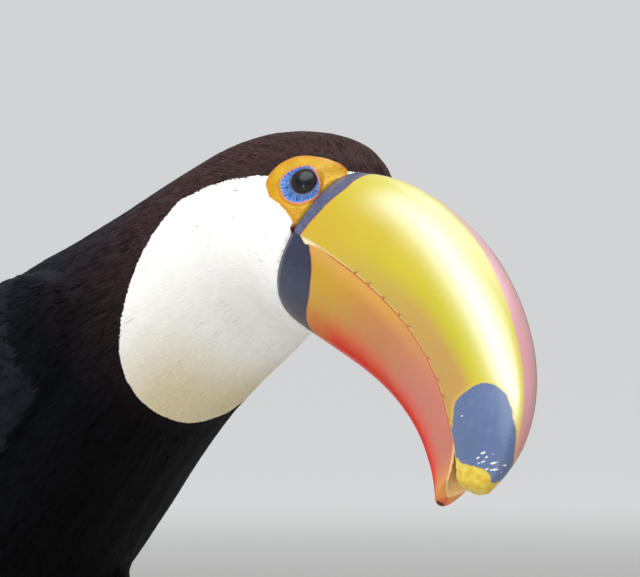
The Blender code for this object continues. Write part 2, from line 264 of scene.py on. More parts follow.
MIDDLE_Y = 10.7
HEAD_AT = np.array((130.6, MIDDLE_Y - 11.0, 218.0))
HEAD_TURN = turned(-16.5, 13.7, -28.6)
CULMEN = ((3.0, 35.0), (73.5, 49.3), (213.0, 3.8), (184.0, -44.5))
TOMIUM = ((0.0, 0.0), (61.6, -1.0), (134.0, -0.5), (173.5, -46.5))
GONYS = ((4.0, -28.0), (60.0, -30.4), (123.5, -24.0), (163.5, -57.0))
BILL_HALF_WIDTHS = ((0.0, 22.2), (0.3, 21.4), (0.6, 15.5), (0.85, 9.7), (1.0, 4.1))
TIP_GAP = (-8.0, -1.5)
TIP_GAP_START = 0.9
EYE_CENTRE = np.array((-13.5, 20.6, 17.2))
EYE_RADIUS = 7.2
# Across the head: x, z, half width, top, bottom, lean.
HEAD_OVALS = (
    (0.0, 0.0, 23.0, 36.2, -29.0, 0),
    (-11.0, 3.0, 26.6, 38.4, -31.5, 0),
    (-28.0, 4.0, 30.0, 42.8, -34.0, -6),
)
# Across neck and trunk: x, y, z from the head's origin, slope, half width, above, below, yaw, roll.
BODY_OVALS = (
    (-50, 10, 8, 8, 33.5, 41.0, 38, -11, -18),
    (-76, 11, -3.5, 17, 37, 42.5, 39, -5, -9),
    (-101.6, 11, -15.5, 25, 41, 43, 40, -1, -3),
    (-131.5, 11, -32.5, 31, 45.5, 49, 41.5, 0, 0),
    (-160, 11, -52, 36, 49, 58.5, 44, 0, 0),
    (-190, 11, -76, 40, 52, 59.5, 47, 0, 0),
    (-218, 11, -101, 42, 50, 52, 49, 0, 0),
    (-243, 11, -124, 42, 42, 38, 43, 0, 0),
    (-264, 11, -142, 38, 29, 27, 29, 0, 0),
    (-280, 11, -153, 33, 18, 15, 16, 0, 0),
)
TRUNK_END = 12.0
TAIL_DROP = math.radians(15.0)
TAIL_LENGTH = 152.0
# Across the tail: share of its length, half width, above, below.
TAIL_OVALS = ((0.06, 18, 13, 15), (0.18, 20.5, 9.5, 13.5), (0.32, 23.5, 6.2, 9.5), (0.5, 27.5, 4, 5.6),
              (0.72, 31.2, 2.7, 3.4), (0.9, 32.2, 1.8, 2.2), (0.97, 28.5, 1.3, 1.6), (1, 20, 0.9, 1.1))
STANCE = 31.0
FOOT_X = -12.0
HOCK = np.array((-38.0, 29.0, 50.0))
TOE_HEIGHT = 2.3
HUB_RISE = 1.7
# Length, heading.
TOES = ((29.0, -14.0), (41.0, 12.0), (37.0, 152.0), (22.0, -160.0))


# ---- the body's own coordinates


def to_head(points):
    return (points - HEAD_AT) @ HEAD_TURN


def from_head(points):
    return np.asarray(points, float) @ HEAD_TURN.T + HEAD_AT


def body_ovals():
    """For each oval: its middle, the directions ahead and up, half width, and heights above and below."""
    rows = []
    for x, z, width, top, bottom, lean in HEAD_OVALS:
        c, s = math.cos(math.radians(lean)), math.sin(math.radians(lean))
        up, ahead = HEAD_TURN @ (s, 0, c), HEAD_TURN @ (c, 0, -s)
        rows.append([*from_head((x, 0, z)), *ahead, *up, width, top - z, z - bottom])
    for x, y, z, slope, width, above, below, yaw, roll in BODY_OVALS:
        turn = turned(yaw, -slope, roll)
        rows.append([*(HEAD_AT + (x, y, z)), *turn[:, 0], *turn[:, 2], width, above, below])
    return np.array(rows)


OVALS = body_ovals()
OVAL_PACE = 22.0  # about how far apart the ovals are
TAIL_BACK = np.array((-math.cos(TAIL_DROP), 0, -math.sin(TAIL_DROP)))
TAIL_ROOT = OVALS[-1, :3]


def body_frame(t):
    """Middle, ahead, side, up and the three sizes of the body's ovals at t, also a little past both ends."""
    t = np.asarray(t, float)
    row = spline(OVALS, np.clip(t, 0, TRUNK_END))
    ahead = unit(row[..., 3:6])
    side = unit(np.cross(row[..., 6:9], ahead))
    over = (np.clip(t, 0, TRUNK_END) - t)[..., None] * OVAL_PACE
    return row[..., :3] + ahead * over, ahead, side, np.cross(ahead, side), row[..., 9:12]


STATIONS = np.linspace(-1.0, 14.0, 226)
STATION_FRAMES = body_frame(STATIONS)


def body_place(points, chunk=8000):
    """How far down the body each point is, from 0 at the bill to 12 at the tail, and its angle in degrees
    from the ridge of the back, positive on the left."""
    centres, aheads, sides, ups, _ = STATION_FRAMES
    pace = STATIONS[1] - STATIONS[0]
    t, angle = np.empty((2, len(points)))
    for start in range(0, len(points), chunk):
        p = points[start : start + chunk]
        gap = p[:, None, :] - centres
        along = (gap * aheads).sum(-1)
        best = np.argmin(along**2 + 0.03 * (gap**2).sum(-1), axis=1)
        rows = np.arange(len(p))
        step = along[rows, best] - along[rows, np.clip(best + 1, 0, len(STATIONS) - 1)]
        step = np.where(np.abs(step) < 1e-6, 1e9, step)
        t[start : start + chunk] = STATIONS[best] + pace * along[rows, best] / step
        aside, rise = ((gap[rows, best] * axis[best]).sum(-1) for axis in (sides, ups))
        angle[start : start + chunk] = np.degrees(np.arctan2(aside, rise))
    return t, angle


# ---- markings

# The bib's upper edge, as degrees down from the ridge at each place down the body.
BIB_EDGE = (
    (0.0, 72), (2.0, 72.5), (2.6, 73), (3.1, 71), (3.6, 68), (4.1, 78), (4.5, 92),
    (4.9, 106), (5.2, 118), (5.4, 130), (5.58, 148), (5.72, 172), (5.8, 200), (6.0, 240),
)
# Round the left eye, ahead of and above its middle: the bare skin's outline, and the blue ring's.
BARE_OUTLINE = (
    (-17.2, -0.5), (-16.6, -7.3), (-12.6, -10.2), (-7.7, -12.1), (-0.9, -12.2), (4.5, -13.1), (8.5, -14.8),
    (11.5, -18.2), (17.0, -17.0), (20.0, -3.0), (16.0, 9.0), (9.6, 13.2), (4.2, 14.3), (-1.5, 13.4),
    (-6.9, 11.1), (-12.2, 7.5), (-14.9, 4.3),
)
RING_OUTLINE = (
    (-9.3, -5.8), (-10.6, -1.4), (-7.6, 3.8), (-2.4, 6.1), (4.4, 3.7), (7.4, -0.7), (6.0, -5.3),
    (2.2, -8.5), (-3.2, -8.8),
)
EYE_OUT = unit(np.array((0.60, 0.78, 0.15)))
EYE_AHEAD = unit(np.array((1.0, 0.0, 0.0)) - EYE_OUT * EYE_OUT[0])
EYE_UP = np.cross(EYE_AHEAD, EYE_OUT)
NOWHERE = 30.0  # stands for a mark too far off to matter
NO_BIB = -40.0
BIB_END = BIB_EDGE[-1][0]
# The white fleck above the bill's base: x, z, radius.
FLECK = (-6.8, 30.0, 2.3)


def eye_plane(head_points):
    """For each point: its side, and its place ahead of, above and out from the nearer eye's middle."""
    side = np.where(head_points[:, 1] >= 0, 1.0, -1.0)
    p = head_points * np.stack((np.ones_like(side), side, np.ones_like(side)), 1) - EYE_CENTRE
    return side, p @ EYE_AHEAD, p @ EYE_UP, p @ EYE_OUT


def markings(points):
    """Numbers that say what grows at each point, for skin and coat alike."""
    t, angle = body_place(points)
    head = to_head(points)
    _, ahead, above, out = eye_plane(head)
    face = np.stack((ahead, above), 1)
    near = (t < 2.6) & (head[:, 2] > -8) & (out > -8)
    bare, ring = np.full((2, len(points)), NOWHERE)
    bare[near] = loop_distance(face[near], BARE_OUTLINE)
    ring[near] = loop_distance(face[near], RING_OUTLINE)
    edge = through(BIB_EDGE, np.clip(t, 0, BIB_END))
    bib = (np.abs(angle) - edge) * np.radians(1.0) * body_frame(t)[4][:, 0]
    bib = np.where(t > BIB_END, NO_BIB, bib)
    patch = FLECK[2] - np.hypot((head[:, 0] - FLECK[0]) * 0.6, head[:, 2] - FLECK[1])
    patch = np.where(t < 1.0, patch, NO_BIB)
    return {"bib": np.maximum(bib, patch), "bare": bare, "ring": ring, "down": t, "turn": angle}


# ---- materials


def rgb(*screen):
    """A colour given as it looks on screen, 0 to 255, in linear light."""
    shares = (c / 255 for c in screen)
    return tuple(c / 12.92 if c <= 0.04045 else ((c + 0.055) / 1.055) ** 2.4 for c in shares) + (1.0,)


class Paint:
    """Builds the nodes of a material or the world. Numbers, colours and sockets mix freely as inputs."""

    def __init__(self, name, kind="materials", shader="Principled BSDF", place="Object", **inputs):
        self.made = getattr(bpy.data, kind).new(name)
        self.made.use_nodes = True
        self.tree = self.made.node_tree
        self.shader = self.tree.nodes[shader]
        for key, value in inputs.items():
            self.shader.inputs[key.replace("_", " ")].default_value = value
        self.place = self.tree.nodes.new("ShaderNodeTexCoord").outputs[place]

    def node(self, kind, inputs, out=0, **settings):
        made = self.tree.nodes.new("ShaderNode" + kind)
        for key, value in settings.items():
            setattr(made, key, value)
        for key, value in inputs.items():
            if isinstance(value, bpy.types.NodeSocket):
                self.tree.links.new(value, made.inputs[key])
            else:
                made.inputs[key].default_value = value
        return made.outputs[out]

    def numbers(self, *names):
        return [self.node("Attribute", {}, "Fac", attribute_name=name) for name in names]

    def number(self, name):
        return self.numbers(name)[0]

    def math(self, operation, *inputs):
        return self.node("Math", dict(enumerate(inputs)), operation=operation)

    def times(self, a, b):
        return self.math("MULTIPLY", a, b)

    def line(self, a, slope, start):
        return self.math("MULTIPLY_ADD", a, slope, start)

    def plus(self, a, b):
        return self.math("ADD", a, b)

    def step(self, value, low, high, bottom=0.0, top=1.0):
        """bottom before low, top past high, smooth between. low may be above high."""
        if low > high:
            low, high, bottom, top = high, low, top, bottom
        inputs = {"Value": value, "From Min": low, "From Max": high, "To Min": bottom, "To Max": top}
        return self.node("MapRange", inputs, interpolation_type="SMOOTHSTEP")

    def mix(self, share, a, b):
        return self.node("Mix", {0: share, 6: a, 7: b}, 2, data_type="RGBA")

    def over(self, share, colour, strength=1.0):
        """Lays a colour over the paint so far, where share is above 0."""
        self.start(self.mix(self.times(share, strength), self.colour, colour))

    def start(self, colour):
        """Sets the colour that goes to the shader, with nothing over it yet."""
        self.colour = colour
        self.tree.links.new(colour, self.shader.inputs["Base Color"])

    def noise(self, scale, detail=3.0, rough=0.55, where=None):
        inputs = {"Vector": where or self.place, "Scale": scale, "Detail": detail, "Roughness": rough}
        return self.node("TexNoise", inputs, "Fac")

    def streaks(self, *scales, detail=4):
        where = self.node("Mapping", {"Vector": self.place, "Scale": scales})
        return self.noise(1.0, detail, 0.6, where)

    def combine(self, x, y):
        return self.node("CombineXYZ", {0: x, 1: y})

    def join(self, height=None, strength=0.25, distance=0.0006, **links):
        """Links numbers to the shader, with a height as bump."""
        if height is not None:
            inputs = {"Height": height, "Strength": strength, "Distance": distance}
            links["Normal"] = self.node("Bump", inputs)
        for key, value in links.items():
            self.tree.links.new(value, self.shader.inputs[key.replace("_", " ")])
        return self.made


# ---- horn of the bill

SLATE = rgb(94, 100, 132)
NAVY = rgb(24, 33, 62)
# The spot's slate, painted lighter and bluer than its near-black horn: a painted reflection of the sky on its
# gloss.
SPOT_SLATE_AND_REFLECTION = rgb(103, 121, 160)


def horn_paint(name, radius, cloud_scale):
    """Paint for one half of the bill, with the slow clouds and the fine grain in its colours."""
    p = Paint(name, Roughness=0.34, Coat_Weight=0.12, Coat_Roughness=0.15, IOR=1.45, Subsurface_Weight=0.1,
              Subsurface_Scale=0.003, Subsurface_Radius=radius)
    return p, p.noise(cloud_scale, 4), p.noise(300, 5, 0.6)


def join_horn(p, cloud, fine, rough, chip=0.0):
    height = p.plus(p.times(p.streaks(60, 400, 400), 0.6), p.times(p.noise(90, 3), 0.9))
    return p.join(p.line(chip, 1.2, height), Roughness=p.line(fine, 0.16, p.line(cloud, 0.12, rough)))


def upper_bill_material():
    p, cloud, fine = horn_paint("upper_bill_horn", (1.0, 0.5, 0.2), 28)
    out, high, stripe, edge = p.numbers("out", "high", "stripe", "edge")
    p.start(p.mix(p.step(out, 20, 150), rgb(195, 174, 38), rgb(189, 182, 42)))
    p.over(p.step(high, 0.3, 0.75), rgb(202, 198, 78))
    p.over(p.step(cloud, 0.35, 0.7), rgb(204, 184, 56), 0.5)
    # Tan towards the cutting edge, gold at the base, a pale run along the side that is partly paler horn and partly
    # a painted highlight.
    reach = p.line(p.step(out, 60, 175), 0.26, 0.09)
    low = p.math("SUBTRACT", p.line(cloud, 0.14, -0.07), p.math("SUBTRACT", high, reach))
    tan = p.mix(p.step(out, 60, 150), rgb(190, 166, 64), rgb(190, 150, 80))
    p.over(p.step(low, -0.14, 0.08), tan, p.step(out, 15, 75))
    p.over(p.times(p.step(high, 0.42, 0.05), p.step(out, 70, 8)), rgb(204, 164, 34), 0.55)
    # Painted highlight, partly paler horn: near-white laid along the pale run.
    p.over(p.number("pale_and_highlight"), rgb(251, 249, 226), p.step(out, 16, 80, 0.45, 0.8))
    # The ridge's stripe, with a yellow rim, and red along its far side.
    p.over(p.times(p.step(stripe, 2.8, 0.2), p.step(out, 40, 110)), rgb(214, 202, 56), 0.8)
    pink = p.mix(p.step(out, 150, 225), rgb(218, 160, 168), rgb(216, 140, 124))
    p.over(p.step(p.line(cloud, 0.9, stripe), 0.9, -0.2), pink, p.step(out, 18, 70))
    p.over(p.number("far"), rgb(140, 30, 20), p.step(out, 40, 90))
    # Tip, spot, band.
    tip = p.plus(p.number("tip"), p.line(cloud, 5.0, -2.5))
    p.over(p.step(tip, 0.5, -1.5), p.mix(p.step(fine, 0.4, 0.65), rgb(214, 178, 46), rgb(224, 206, 90)))
    ragged = p.line(p.noise(420, 3), 1.6, -0.8)
    spot = p.math("DIVIDE", p.plus(p.number("spot"), ragged), p.step(out, 196, 202, 1.0, 2.6))
    p.over(p.step(spot, 2.6, 0.3), rgb(226, 190, 66), 0.45)
    # Painted reflection: the spot's slate is lighter and bluer than the horn itself, for the sky seen in its gloss.
    slate = p.mix(p.step(cloud, 0.3, 0.75), SPOT_SLATE_AND_REFLECTION, rgb(90, 108, 148))
    slate = p.mix(p.times(p.step(fine, 0.5, 0.8), 0.35), slate, rgb(132, 148, 182))
    p.over(p.step(spot, 0.45, -0.5), slate)
    chip = p.step(p.line(p.noise(1300, 2), 0.9, p.number("worn")), 0.98, 1.06)
    p.over(chip, rgb(236, 240, 244))
    band = p.line(ragged, 0.5, p.number("band"))
    p.over(p.step(band, 1.1, 0.3), rgb(205, 104, 30), 0.8)
    slate = p.mix(p.step(p.noise(700, 4), 0.3, 0.7), SLATE, rgb(62, 70, 104))
    slate = p.mix(p.times(p.step(p.noise(1500, 2), 0.62, 0.72), 0.5), slate, rgb(132, 144, 186))
    p.over(p.step(band, 0.35, -0.15), slate)
    # The cutting edge: a pale worn ridge, partly a painted highlight along its rim, broken by small notches.
    ridge = p.mix(p.step(out, 20, 60), rgb(240, 222, 176), rgb(232, 204, 140))
    p.over(p.times(p.step(edge, 0.8, 0.45), p.step(out, 4, 14)), ridge, 0.75)
    p.over(p.number("notch"), rgb(176, 92, 22))
    return join_horn(p, cloud, fine, 0.24, chip)


def lower_bill_material():
    p, cloud, fine = horn_paint("lower_bill_horn", (1.0, 0.35, 0.15), 30)
    out, high, edge = p.numbers("out", "high", "edge")
    along = p.plus(out, p.line(cloud, 22.0, -11.0))
    p.start(p.mix(p.step(along, 28, 92), rgb(194, 152, 18), rgb(188, 124, 74)))
    p.over(p.step(along, 80, 130), rgb(192, 118, 102))
    p.over(p.step(edge, 9.0, 2.0), rgb(204, 154, 70), p.step(along, 150, 60))
    # Orange, then red, along the lower edge.
    p.over(p.times(p.step(high, 0.4, 0.85), p.step(along, 95, 20)), rgb(224, 108, 20), 0.85)
    low = p.plus(high, p.line(cloud, 0.2, -0.1))
    p.over(p.step(low, 0.34, 0.78), rgb(238, 40, 12), p.step(along, 26, 58))
    p.over(p.step(out, 160, 178), p.mix(p.step(high, 0.5, 0.95), rgb(226, 160, 74), rgb(212, 112, 58)))
    # The trough inside: its orange, painted brighter towards the tip as painted light where the upper mandible
    # shades it.
    p.over(p.number("inside"), p.mix(p.step(out, 160, 182), rgb(206, 110, 32), rgb(250, 176, 40)))
    # The dark patch at the base, and the pale wedge over it.
    patch = p.plus(p.number("patch"), p.line(p.noise(420, 3), 1.0, -0.5))
    p.over(p.step(patch, 1.3, 0.3), rgb(222, 112, 36), 0.6)
    p.over(p.step(patch, 0.4, -0.3), p.mix(p.step(p.noise(520, 4), 0.3, 0.75), NAVY, rgb(35, 44, 74)))
    p.over(p.step(p.number("wedge"), 0.35, -0.35), rgb(236, 218, 176))
    # The cutting edge and the tip.
    # Painted shade: a darker orange-brown line along the edge, in the seam under the upper mandible.
    lip = p.times(p.step(edge, 1.6, 1.2), p.step(out, 24, 40))
    p.over(lip, rgb(176, 88, 24), p.step(out, 150, 170, 0.85, 0.3))
    p.over(p.number("notch"), rgb(190, 88, 16))
    p.over(p.times(p.step(edge, 1.3, 0.5), p.step(out, 150, 166)), rgb(246, 214, 150), 0.7)
    p.over(p.number("chip"), rgb(222, 190, 160))
    p.over(p.step(p.number("tip"), 0.3, -0.3), rgb(70, 30, 20))
    return join_horn(p, cloud, fine, 0.26)


# ---- bill

BILL_STATIONS = 330
TIP_STATIONS = 14
BILL_ARC = 150
BILL_FLOOR = 20
BLUNT = 0.985  # where the tip starts to round off
# Places along the cutting edge where it is notched, in millimetres from the corner of the mouth.
NOTCHES = (57, 70, 80.5, 96, 106, 124.5, 138, 148, 156.5, 168)
# The dark oval near the tip: place along the bill, and share of the way from cutting edge to ridge.
SPOT_OUTLINE = (
    (0.732, 0.58), (0.741, 0.465), (0.757, 0.36), (0.779, 0.217), (0.804, 0.11), (0.845, 0.03),
    (0.88, -0.02), (0.925, -0.02), (0.944, 0.03), (0.946, 0.243), (0.943, 0.464), (0.942, 0.623),
    (0.948, 0.76), (0.962, 0.83), (0.957, 0.93), (0.93, 1.02), (0.9, 1.0), (0.875, 0.94),
    (0.835, 0.905), (0.809, 0.87), (0.782, 0.832), (0.752, 0.78), (0.736, 0.7),
)
SPOT_SCALE = np.array((235, 40))
# Chips in the worn end of the spot: place along the bill, share of the way up, length in millimetres.
CHIPS = (
    (0.83, 0.20, 1.0), (0.905, 0.55, 1.6), (0.912, 0.62, 1.2), (0.921, 0.47, 1.4), (0.93, 0.81, 1.5),
    (0.918, 0.75, 1.8), (0.91, 0.9, 1.4), (0.912, 0.985, 1.0), (0.885, 0.99, 1.0), (0.938, 0.68, 1.2),
    (0.925, 0.58, 1.3), (0.933, 0.5, 1.0), (0.936, 0.75, 1.3), (0.9, 0.7, 0.9), (0.929, 0.9, 1.1),
)
# The dark band round the bill's base: share of the section's height, and how far forward it reaches there.
BAND_FRONT = (
    (0.0, 4.8), (0.17, 5.9), (0.31, 7.2), (0.45, 7.9), (0.57, 9.1), (0.675, 9.5), (0.76, 8.2), (0.84, 7.4),
    (0.91, 6.4), (1.0, 5.6),
)
# The run of the upper bill painted palest, partly paler horn and partly a painted highlight: place along it, and
# share of the way up.
PALE_HIGHLIGHT_RUN = ((0.1, 0.56), (0.21, 0.6), (0.32, 0.63), (0.44, 0.65), (0.55, 0.68), (0.65, 0.74), (0.75, 0.83))
# The colours sit a little to one side of the ridge, more so towards the tip: place along, and how far.
RIDGE_SHIFT = ((0.0, 0.6), (0.2, 1.3), (0.65, 1.4), (0.87, 2.6), (1.0, 2.6))
# The ridge's pink stripe: place along, half width.
STRIPE = ((0.0, 2.5), (0.15, 3.2), (0.24, 4.7), (0.35, 3.8), (0.45, 4.9), (0.6, 4.7), (0.7, 3.8), (0.8, 3.4),
          (0.87, 2.9), (1.0, 1.5))
# On the lower bill, as x and z: the dark patch at the base, and the pale wedge at the corner of the mouth.
PATCH_OUTLINE = ((-8, 4), (0, 2.4), (8, 1.4), (15, -1.4), (21, -4.6), (25.2, -7.6), (28.2, -11), (31.2, -18),
                 (28.5, -24), (22, -31), (5, -36), (-10, -30), (-14, -12))
WEDGE_OUTLINE = ((3, 0.8), (8, -0.7), (12.5, -1.7), (15.5, -1.0), (24, -0.2), (12, 1.5))


def bill_edge(s, gap):
    """The cutting edge, drawn away from the other mandible's by a gap near the tip."""
    opening = np.clip((s - TIP_GAP_START) / (1 - TIP_GAP_START), 0, 1) ** 1.6
    return bezier(TOMIUM, s) + np.array(gap) * opening[..., None]


def mirrored(half, sign=1):
    """Half a section, and the other half behind it."""
    return np.concatenate((half * sign, half[:, -2::-1]), axis=1)


def bill_grid(ridge_curve, gap, hollow, tuck):
    """Points and numbers of one mandible, station by station: an arc over the ridge, and the floor back.
    tuck is how far its edge runs up inside the other mandible."""
    u = np.arange(BILL_STATIONS) / (BILL_STATIONS - 1)
    rounded = np.sin(np.linspace(0.12, 1.5, TIP_STATIONS))
    s = np.concatenate(((1 - (1 - u) ** 1.25) * BLUNT, BLUNT + (1 - BLUNT) * rounded))
    past = np.clip((s - BLUNT) / (1 - BLUNT), 0, 0.998)
    shrink = np.where(s > BLUNT, np.sqrt(1 - past**2), 1.0)
    edge, ridge, width = bill_edge(s, gap), bezier(ridge_curve, s), through(BILL_HALF_WIDTHS, s) * shrink
    across = unit(ridge - edge)
    edge = edge - across * (tuck * (1 - smooth((s - 0.89) / 0.05)))[:, None]
    core = edge + (ridge - edge) * 0.35
    edge, ridge = core + (edge - core) * shrink[:, None], core + (ridge - core) * shrink[:, None]
    tall = length(ridge - edge)
    # Half of each section: how far aside and up each place is, and how far from the edge and the ridge.
    quarter = np.linspace(0, math.pi / 2, 300)
    half = BILL_ARC // 2
    fullness = 0.73 + 0.12 * ramp(s, 0.6, 0.93)
    rows = []
    for i in range(len(s)):
        y, z = np.cos(quarter) ** fullness[i] * width[i], np.sin(quarter) ** 0.9 * tall[i]
        run = run_along(np.stack((y, z), 1))
        at = np.linspace(0, 1, half + 1) ** 1.12 * run[-1]
        rows.append((np.interp(at, run, y), np.interp(at, run, z) / max(tall[i], 1e-6), at, run[-1] - at))
    y, rise, from_edge, from_ridge = np.array(rows).transpose(1, 0, 2)
    bevel = (0.12 + 0.6 * tuck) * np.clip(1 - from_edge / (0.9 + tuck), 0, 1) ** 2
    y = mirrored(y - bevel * ramp(width, 1, 4)[:, None], -1)
    rise, from_edge, from_ridge = mirrored(rise), mirrored(from_edge), mirrored(from_ridge)
    y[:, half + 1 :] = np.abs(y[:, half + 1 :])
    # The floor, from one edge back to the other.
    floor = 1 - 2 * np.arange(1, BILL_FLOOR) / BILL_FLOOR
    depth = np.minimum(hollow, 0.3 * tall) / np.maximum(tall, 1e-6)
    pad = np.zeros((len(s), BILL_FLOOR - 1))
    y = np.concatenate((y, floor * y[:, -1:]), 1)
    rise = np.concatenate((rise, depth[:, None] * (1 - floor**2) + pad), 1)
    inside = np.concatenate((np.zeros_like(from_edge), pad + 1), 1)
    from_edge = np.concatenate((from_edge, pad), 1)
    from_ridge = np.concatenate((from_ridge, pad + NOWHERE), 1)
    xz = edge[:, None] + (ridge - edge)[:, None] * rise[..., None]
    points = np.stack((xz[..., 0], y, xz[..., 1]), -1)
    by_station = {"out": run_along((edge + ridge) / 2), "s": s, "lip": run_along(bill_edge(s, gap)),
                  "up_x": across[:, 0], "up_z": across[:, 1]}
    values = {key: np.repeat(a[:, None], points.shape[1], axis=1) for key, a in by_station.items()}
    values.update(edge=from_edge, ridge=from_ridge, high=from_edge / np.maximum(from_edge + from_ridge, 1e-6),
                  inside=inside, rise=rise)
    # One more section runs back into the head.
    middle = points[0].mean(0)
    root = middle + (points[0] - middle) * 0.92 - (8.0, 0, 0)
    values = {key: np.concatenate((value[:1], value)) for key, value in values.items()}
    return np.concatenate((root[None], points)), values


def notch_marks(values, side_y):
    """1 in each notch of the cutting edge, 0 elsewhere."""
    marks = np.zeros_like(values["lip"])
    for i, place in enumerate(NOTCHES):
        along = values["lip"] - place - np.sign(side_y) * 1.5 * math.sin(i * 2.1)
        marks = np.maximum(marks, bell(along - values["edge"] * 0.8, 0.75))
    return marks * bell(values["edge"], 1.3) * (1 - values["inside"])


def make_bill_half(name, node, form, material, mark):
    points, values = bill_grid(*form)
    values["notch"] = notch = notch_marks(values, points[..., 1])
    lift = notch * 0.4 + 0.12 * np.sin(values["lip"] * 1.9) * bell(values["edge"], 0.8)
    lift *= ramp(values["lip"], 30, 60)
    points[..., 0] += values["up_x"] * lift
    points[..., 2] += values["up_z"] * lift
    points[..., 1] *= 1 - 0.02 * notch
    mark(points, values)
    keep = ("out", "high", "edge", "inside", "notch", "spot", "band", "tip", "worn", "far", "patch", "wedge",
            "chip", "pale_and_highlight", "stripe")
    numbers = {key: values[key].ravel() for key in keep if key in values}
    made = make_object(name, from_head(points.reshape(-1, 3)), close_grid(points), material, numbers)
    face_out(made)
    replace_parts(made, node)


def rough_where(mask, points, *waves):
    """Noise at the masked points, 0 at the rest. Each wave is a scale, a seed and a strength."""
    rough = np.zeros(mask.shape)
    rough[mask] = sum(wobble(points[mask], scale, seed) * strength for scale, seed, strength in waves)
    return rough


def mark_upper(points, values):
    s, y = values["s"], points[..., 1]
    total = np.maximum(values["edge"] + values["ridge"], 1e-6)
    offside = np.sign(y) * values["ridge"] - through(RIDGE_SHIFT, s)
    high = values["high"] = np.where(values["inside"] > 0, 0.0, np.clip(1 - np.abs(offside) / total, 0, 1))
    values["stripe"] = np.abs(offside) - through(STRIPE, s)
    scaled = np.stack((s, high), -1) * SPOT_SCALE
    near = scaled[..., 0] > 150
    spot = values["spot"] = np.full(s.shape, NOWHERE)
    spot[near] = loop_distance(scaled[near], np.array(SPOT_OUTLINE) * SPOT_SCALE)
    values["band"] = points[..., 0] - through(BAND_FRONT, np.clip(values["rise"], 0, 1))
    values["tip"] = (0.915 + 0.035 * high - s) * 200
    worn = np.zeros_like(s)
    for place, share, size in CHIPS:
        across, along = (high - share) * 34, (s - place) * 215
        slant = bell(along * 0.6 - across * 0.8, 1.4 * size) * bell(along * 0.8 + across * 0.6, 0.38 * size)
        worn = np.maximum(worn, slant)
    values["worn"] = worn * (y < 0)
    # Where the pale run lies: partly paler horn, partly a painted highlight.
    values["pale_and_highlight"] = bell(high - through(PALE_HIGHLIGHT_RUN, np.clip(s, 0.1, 0.75)), 0.15) * ramp(s, 0.06, 0.2)
    values["far"] = (offside > 0) * bell(values["stripe"] - 0.4, 0.9)
    # The worn tip is ragged, and chips break its surface.
    ragged = ramp(s, 0.955, 0.985)
    push = (rough_where(ragged > 0, points, (1.6, 3, 0.7), (0.6, 4, 0.3)) - 0.2) * ragged
    points[..., 0] += push * 0.15
    points[..., 2] += push * 0.35


def mark_lower(points, values):
    x, y, z = np.moveaxis(points, -1, 0)
    flat = np.stack((x, z), -1).reshape(-1, 2)
    values["patch"] = loop_distance(flat, PATCH_OUTLINE).reshape(x.shape)
    values["wedge"] = loop_distance(flat, WEDGE_OUTLINE, 12).reshape(x.shape)
    bite = bell(values["out"] - 138, 4.5) * ramp(y, -1.0, -3.0) * ramp(values["high"], 0.86, 0.95)
    chip = bite * ramp(rough_where(bite > 0.05, points, (2.2, 8, 1.0)), -0.2, 0.15)
    values["chip"] = chip * 0.9
    points[..., 2] += chip * 0.7
    values["tip"] = np.hypot(x - 163.9, z + 55.6) - 1.3 + 8 * ramp(y, 1.0, 3.0)


def make_bill():
    make_bill_half("upper_bill", "bill_upper", (CULMEN, (0, 0), 2.5, 0.0), upper_bill_material(), mark_upper)
    make_bill_half("lower_bill", "bill_lower", (GONYS, TIP_GAP, 5.0, 0.9), lower_bill_material(), mark_lower)


# ---- skin

BODY, WING, THIGH, LEG, TAIL = range(5)
PARTS = ((WING, "wing_left"), (WING, "wing_right"), (THIGH, "thigh_left"), (THIGH, "thigh_right"),
         (LEG, "leg_left"), (LEG, "leg_right"), (TAIL, "tail"))
PART_REACH = 1.0  # a point this near one of these belongs to it
LEG_REACH = 1.6
FLESH = ("head", "neck", "trunk", "thigh_left", "thigh_right", "wing_left", "wing_right", "leg_left",
         "leg_right", "eye_left", "eye_right", "tail")
SWELL = 0.8
VOXEL = 1.7
TAIL_STUB = 36.0
WING_FLESH_END = 9.8
# How deep the coat is over the skin, in millimetres; on the body, at each place down it.
FACE_DEPTH = 0.2
COAT_DEPTHS = ((0.0, 0.5), (0.7, 0.7), (2.0, 1.0), (4.0, 1.3), (6.0, 2.4), (12.0, 2.6), (14.0, 2.0))
WING_DEPTH = 3.4
THIGH_DEPTH = 2.2


def cut_behind(shape, place, back):
    """Takes away all that lies behind a place, and closes the cut."""
    plane = {"plane_co": Vector(place) * MM, "plane_no": Vector(back)}
    everything = shape.verts[:] + shape.edges[:] + shape.faces[:]
    bmesh.ops.bisect_plane(shape, geom=everything, dist=1e-7, clear_outer=True, **plane)
    bmesh.ops.holes_fill(shape, edges=[e for e in shape.edges if e.is_boundary])
    bmesh.ops.triangulate(shape, faces=[f for f in shape.faces if len(f.verts) > 4])


def add_swollen(joined, name):
    """Adds a copy of a CAD node, grown a little so that neighbours run into each other. The wings' tips are
    left out: they are feathers alone."""
    shape = cad_shape(name)
    if name.startswith("wing"):
        middle, ahead = body_frame(np.array(WING_FLESH_END))[:2]
        cut_behind(shape, middle, -ahead)
    shape.normal_update()
    places = [v.co + v.normal * SWELL * MM for v in shape.verts]
    for vert, place in zip(shape.verts, places):
        vert.co = place
    part = new_mesh("part", shape)
    joined.from_mesh(part)
    bpy.data.meshes.remove(part)


def fused_flesh():
    """One even, closed mesh round all the nodes of flesh."""
    joined = bmesh.new()
    for name in FLESH:
        add_swollen(joined, name)
    holder = add_object("flesh", new_mesh("flesh", joined))
    even = modified(holder, "REMESH", mode="VOXEL", voxel_size=VOXEL * MM)
    bpy.data.objects.remove(holder)
    with editing(even) as shape:
        keep_largest(shape)
    return even


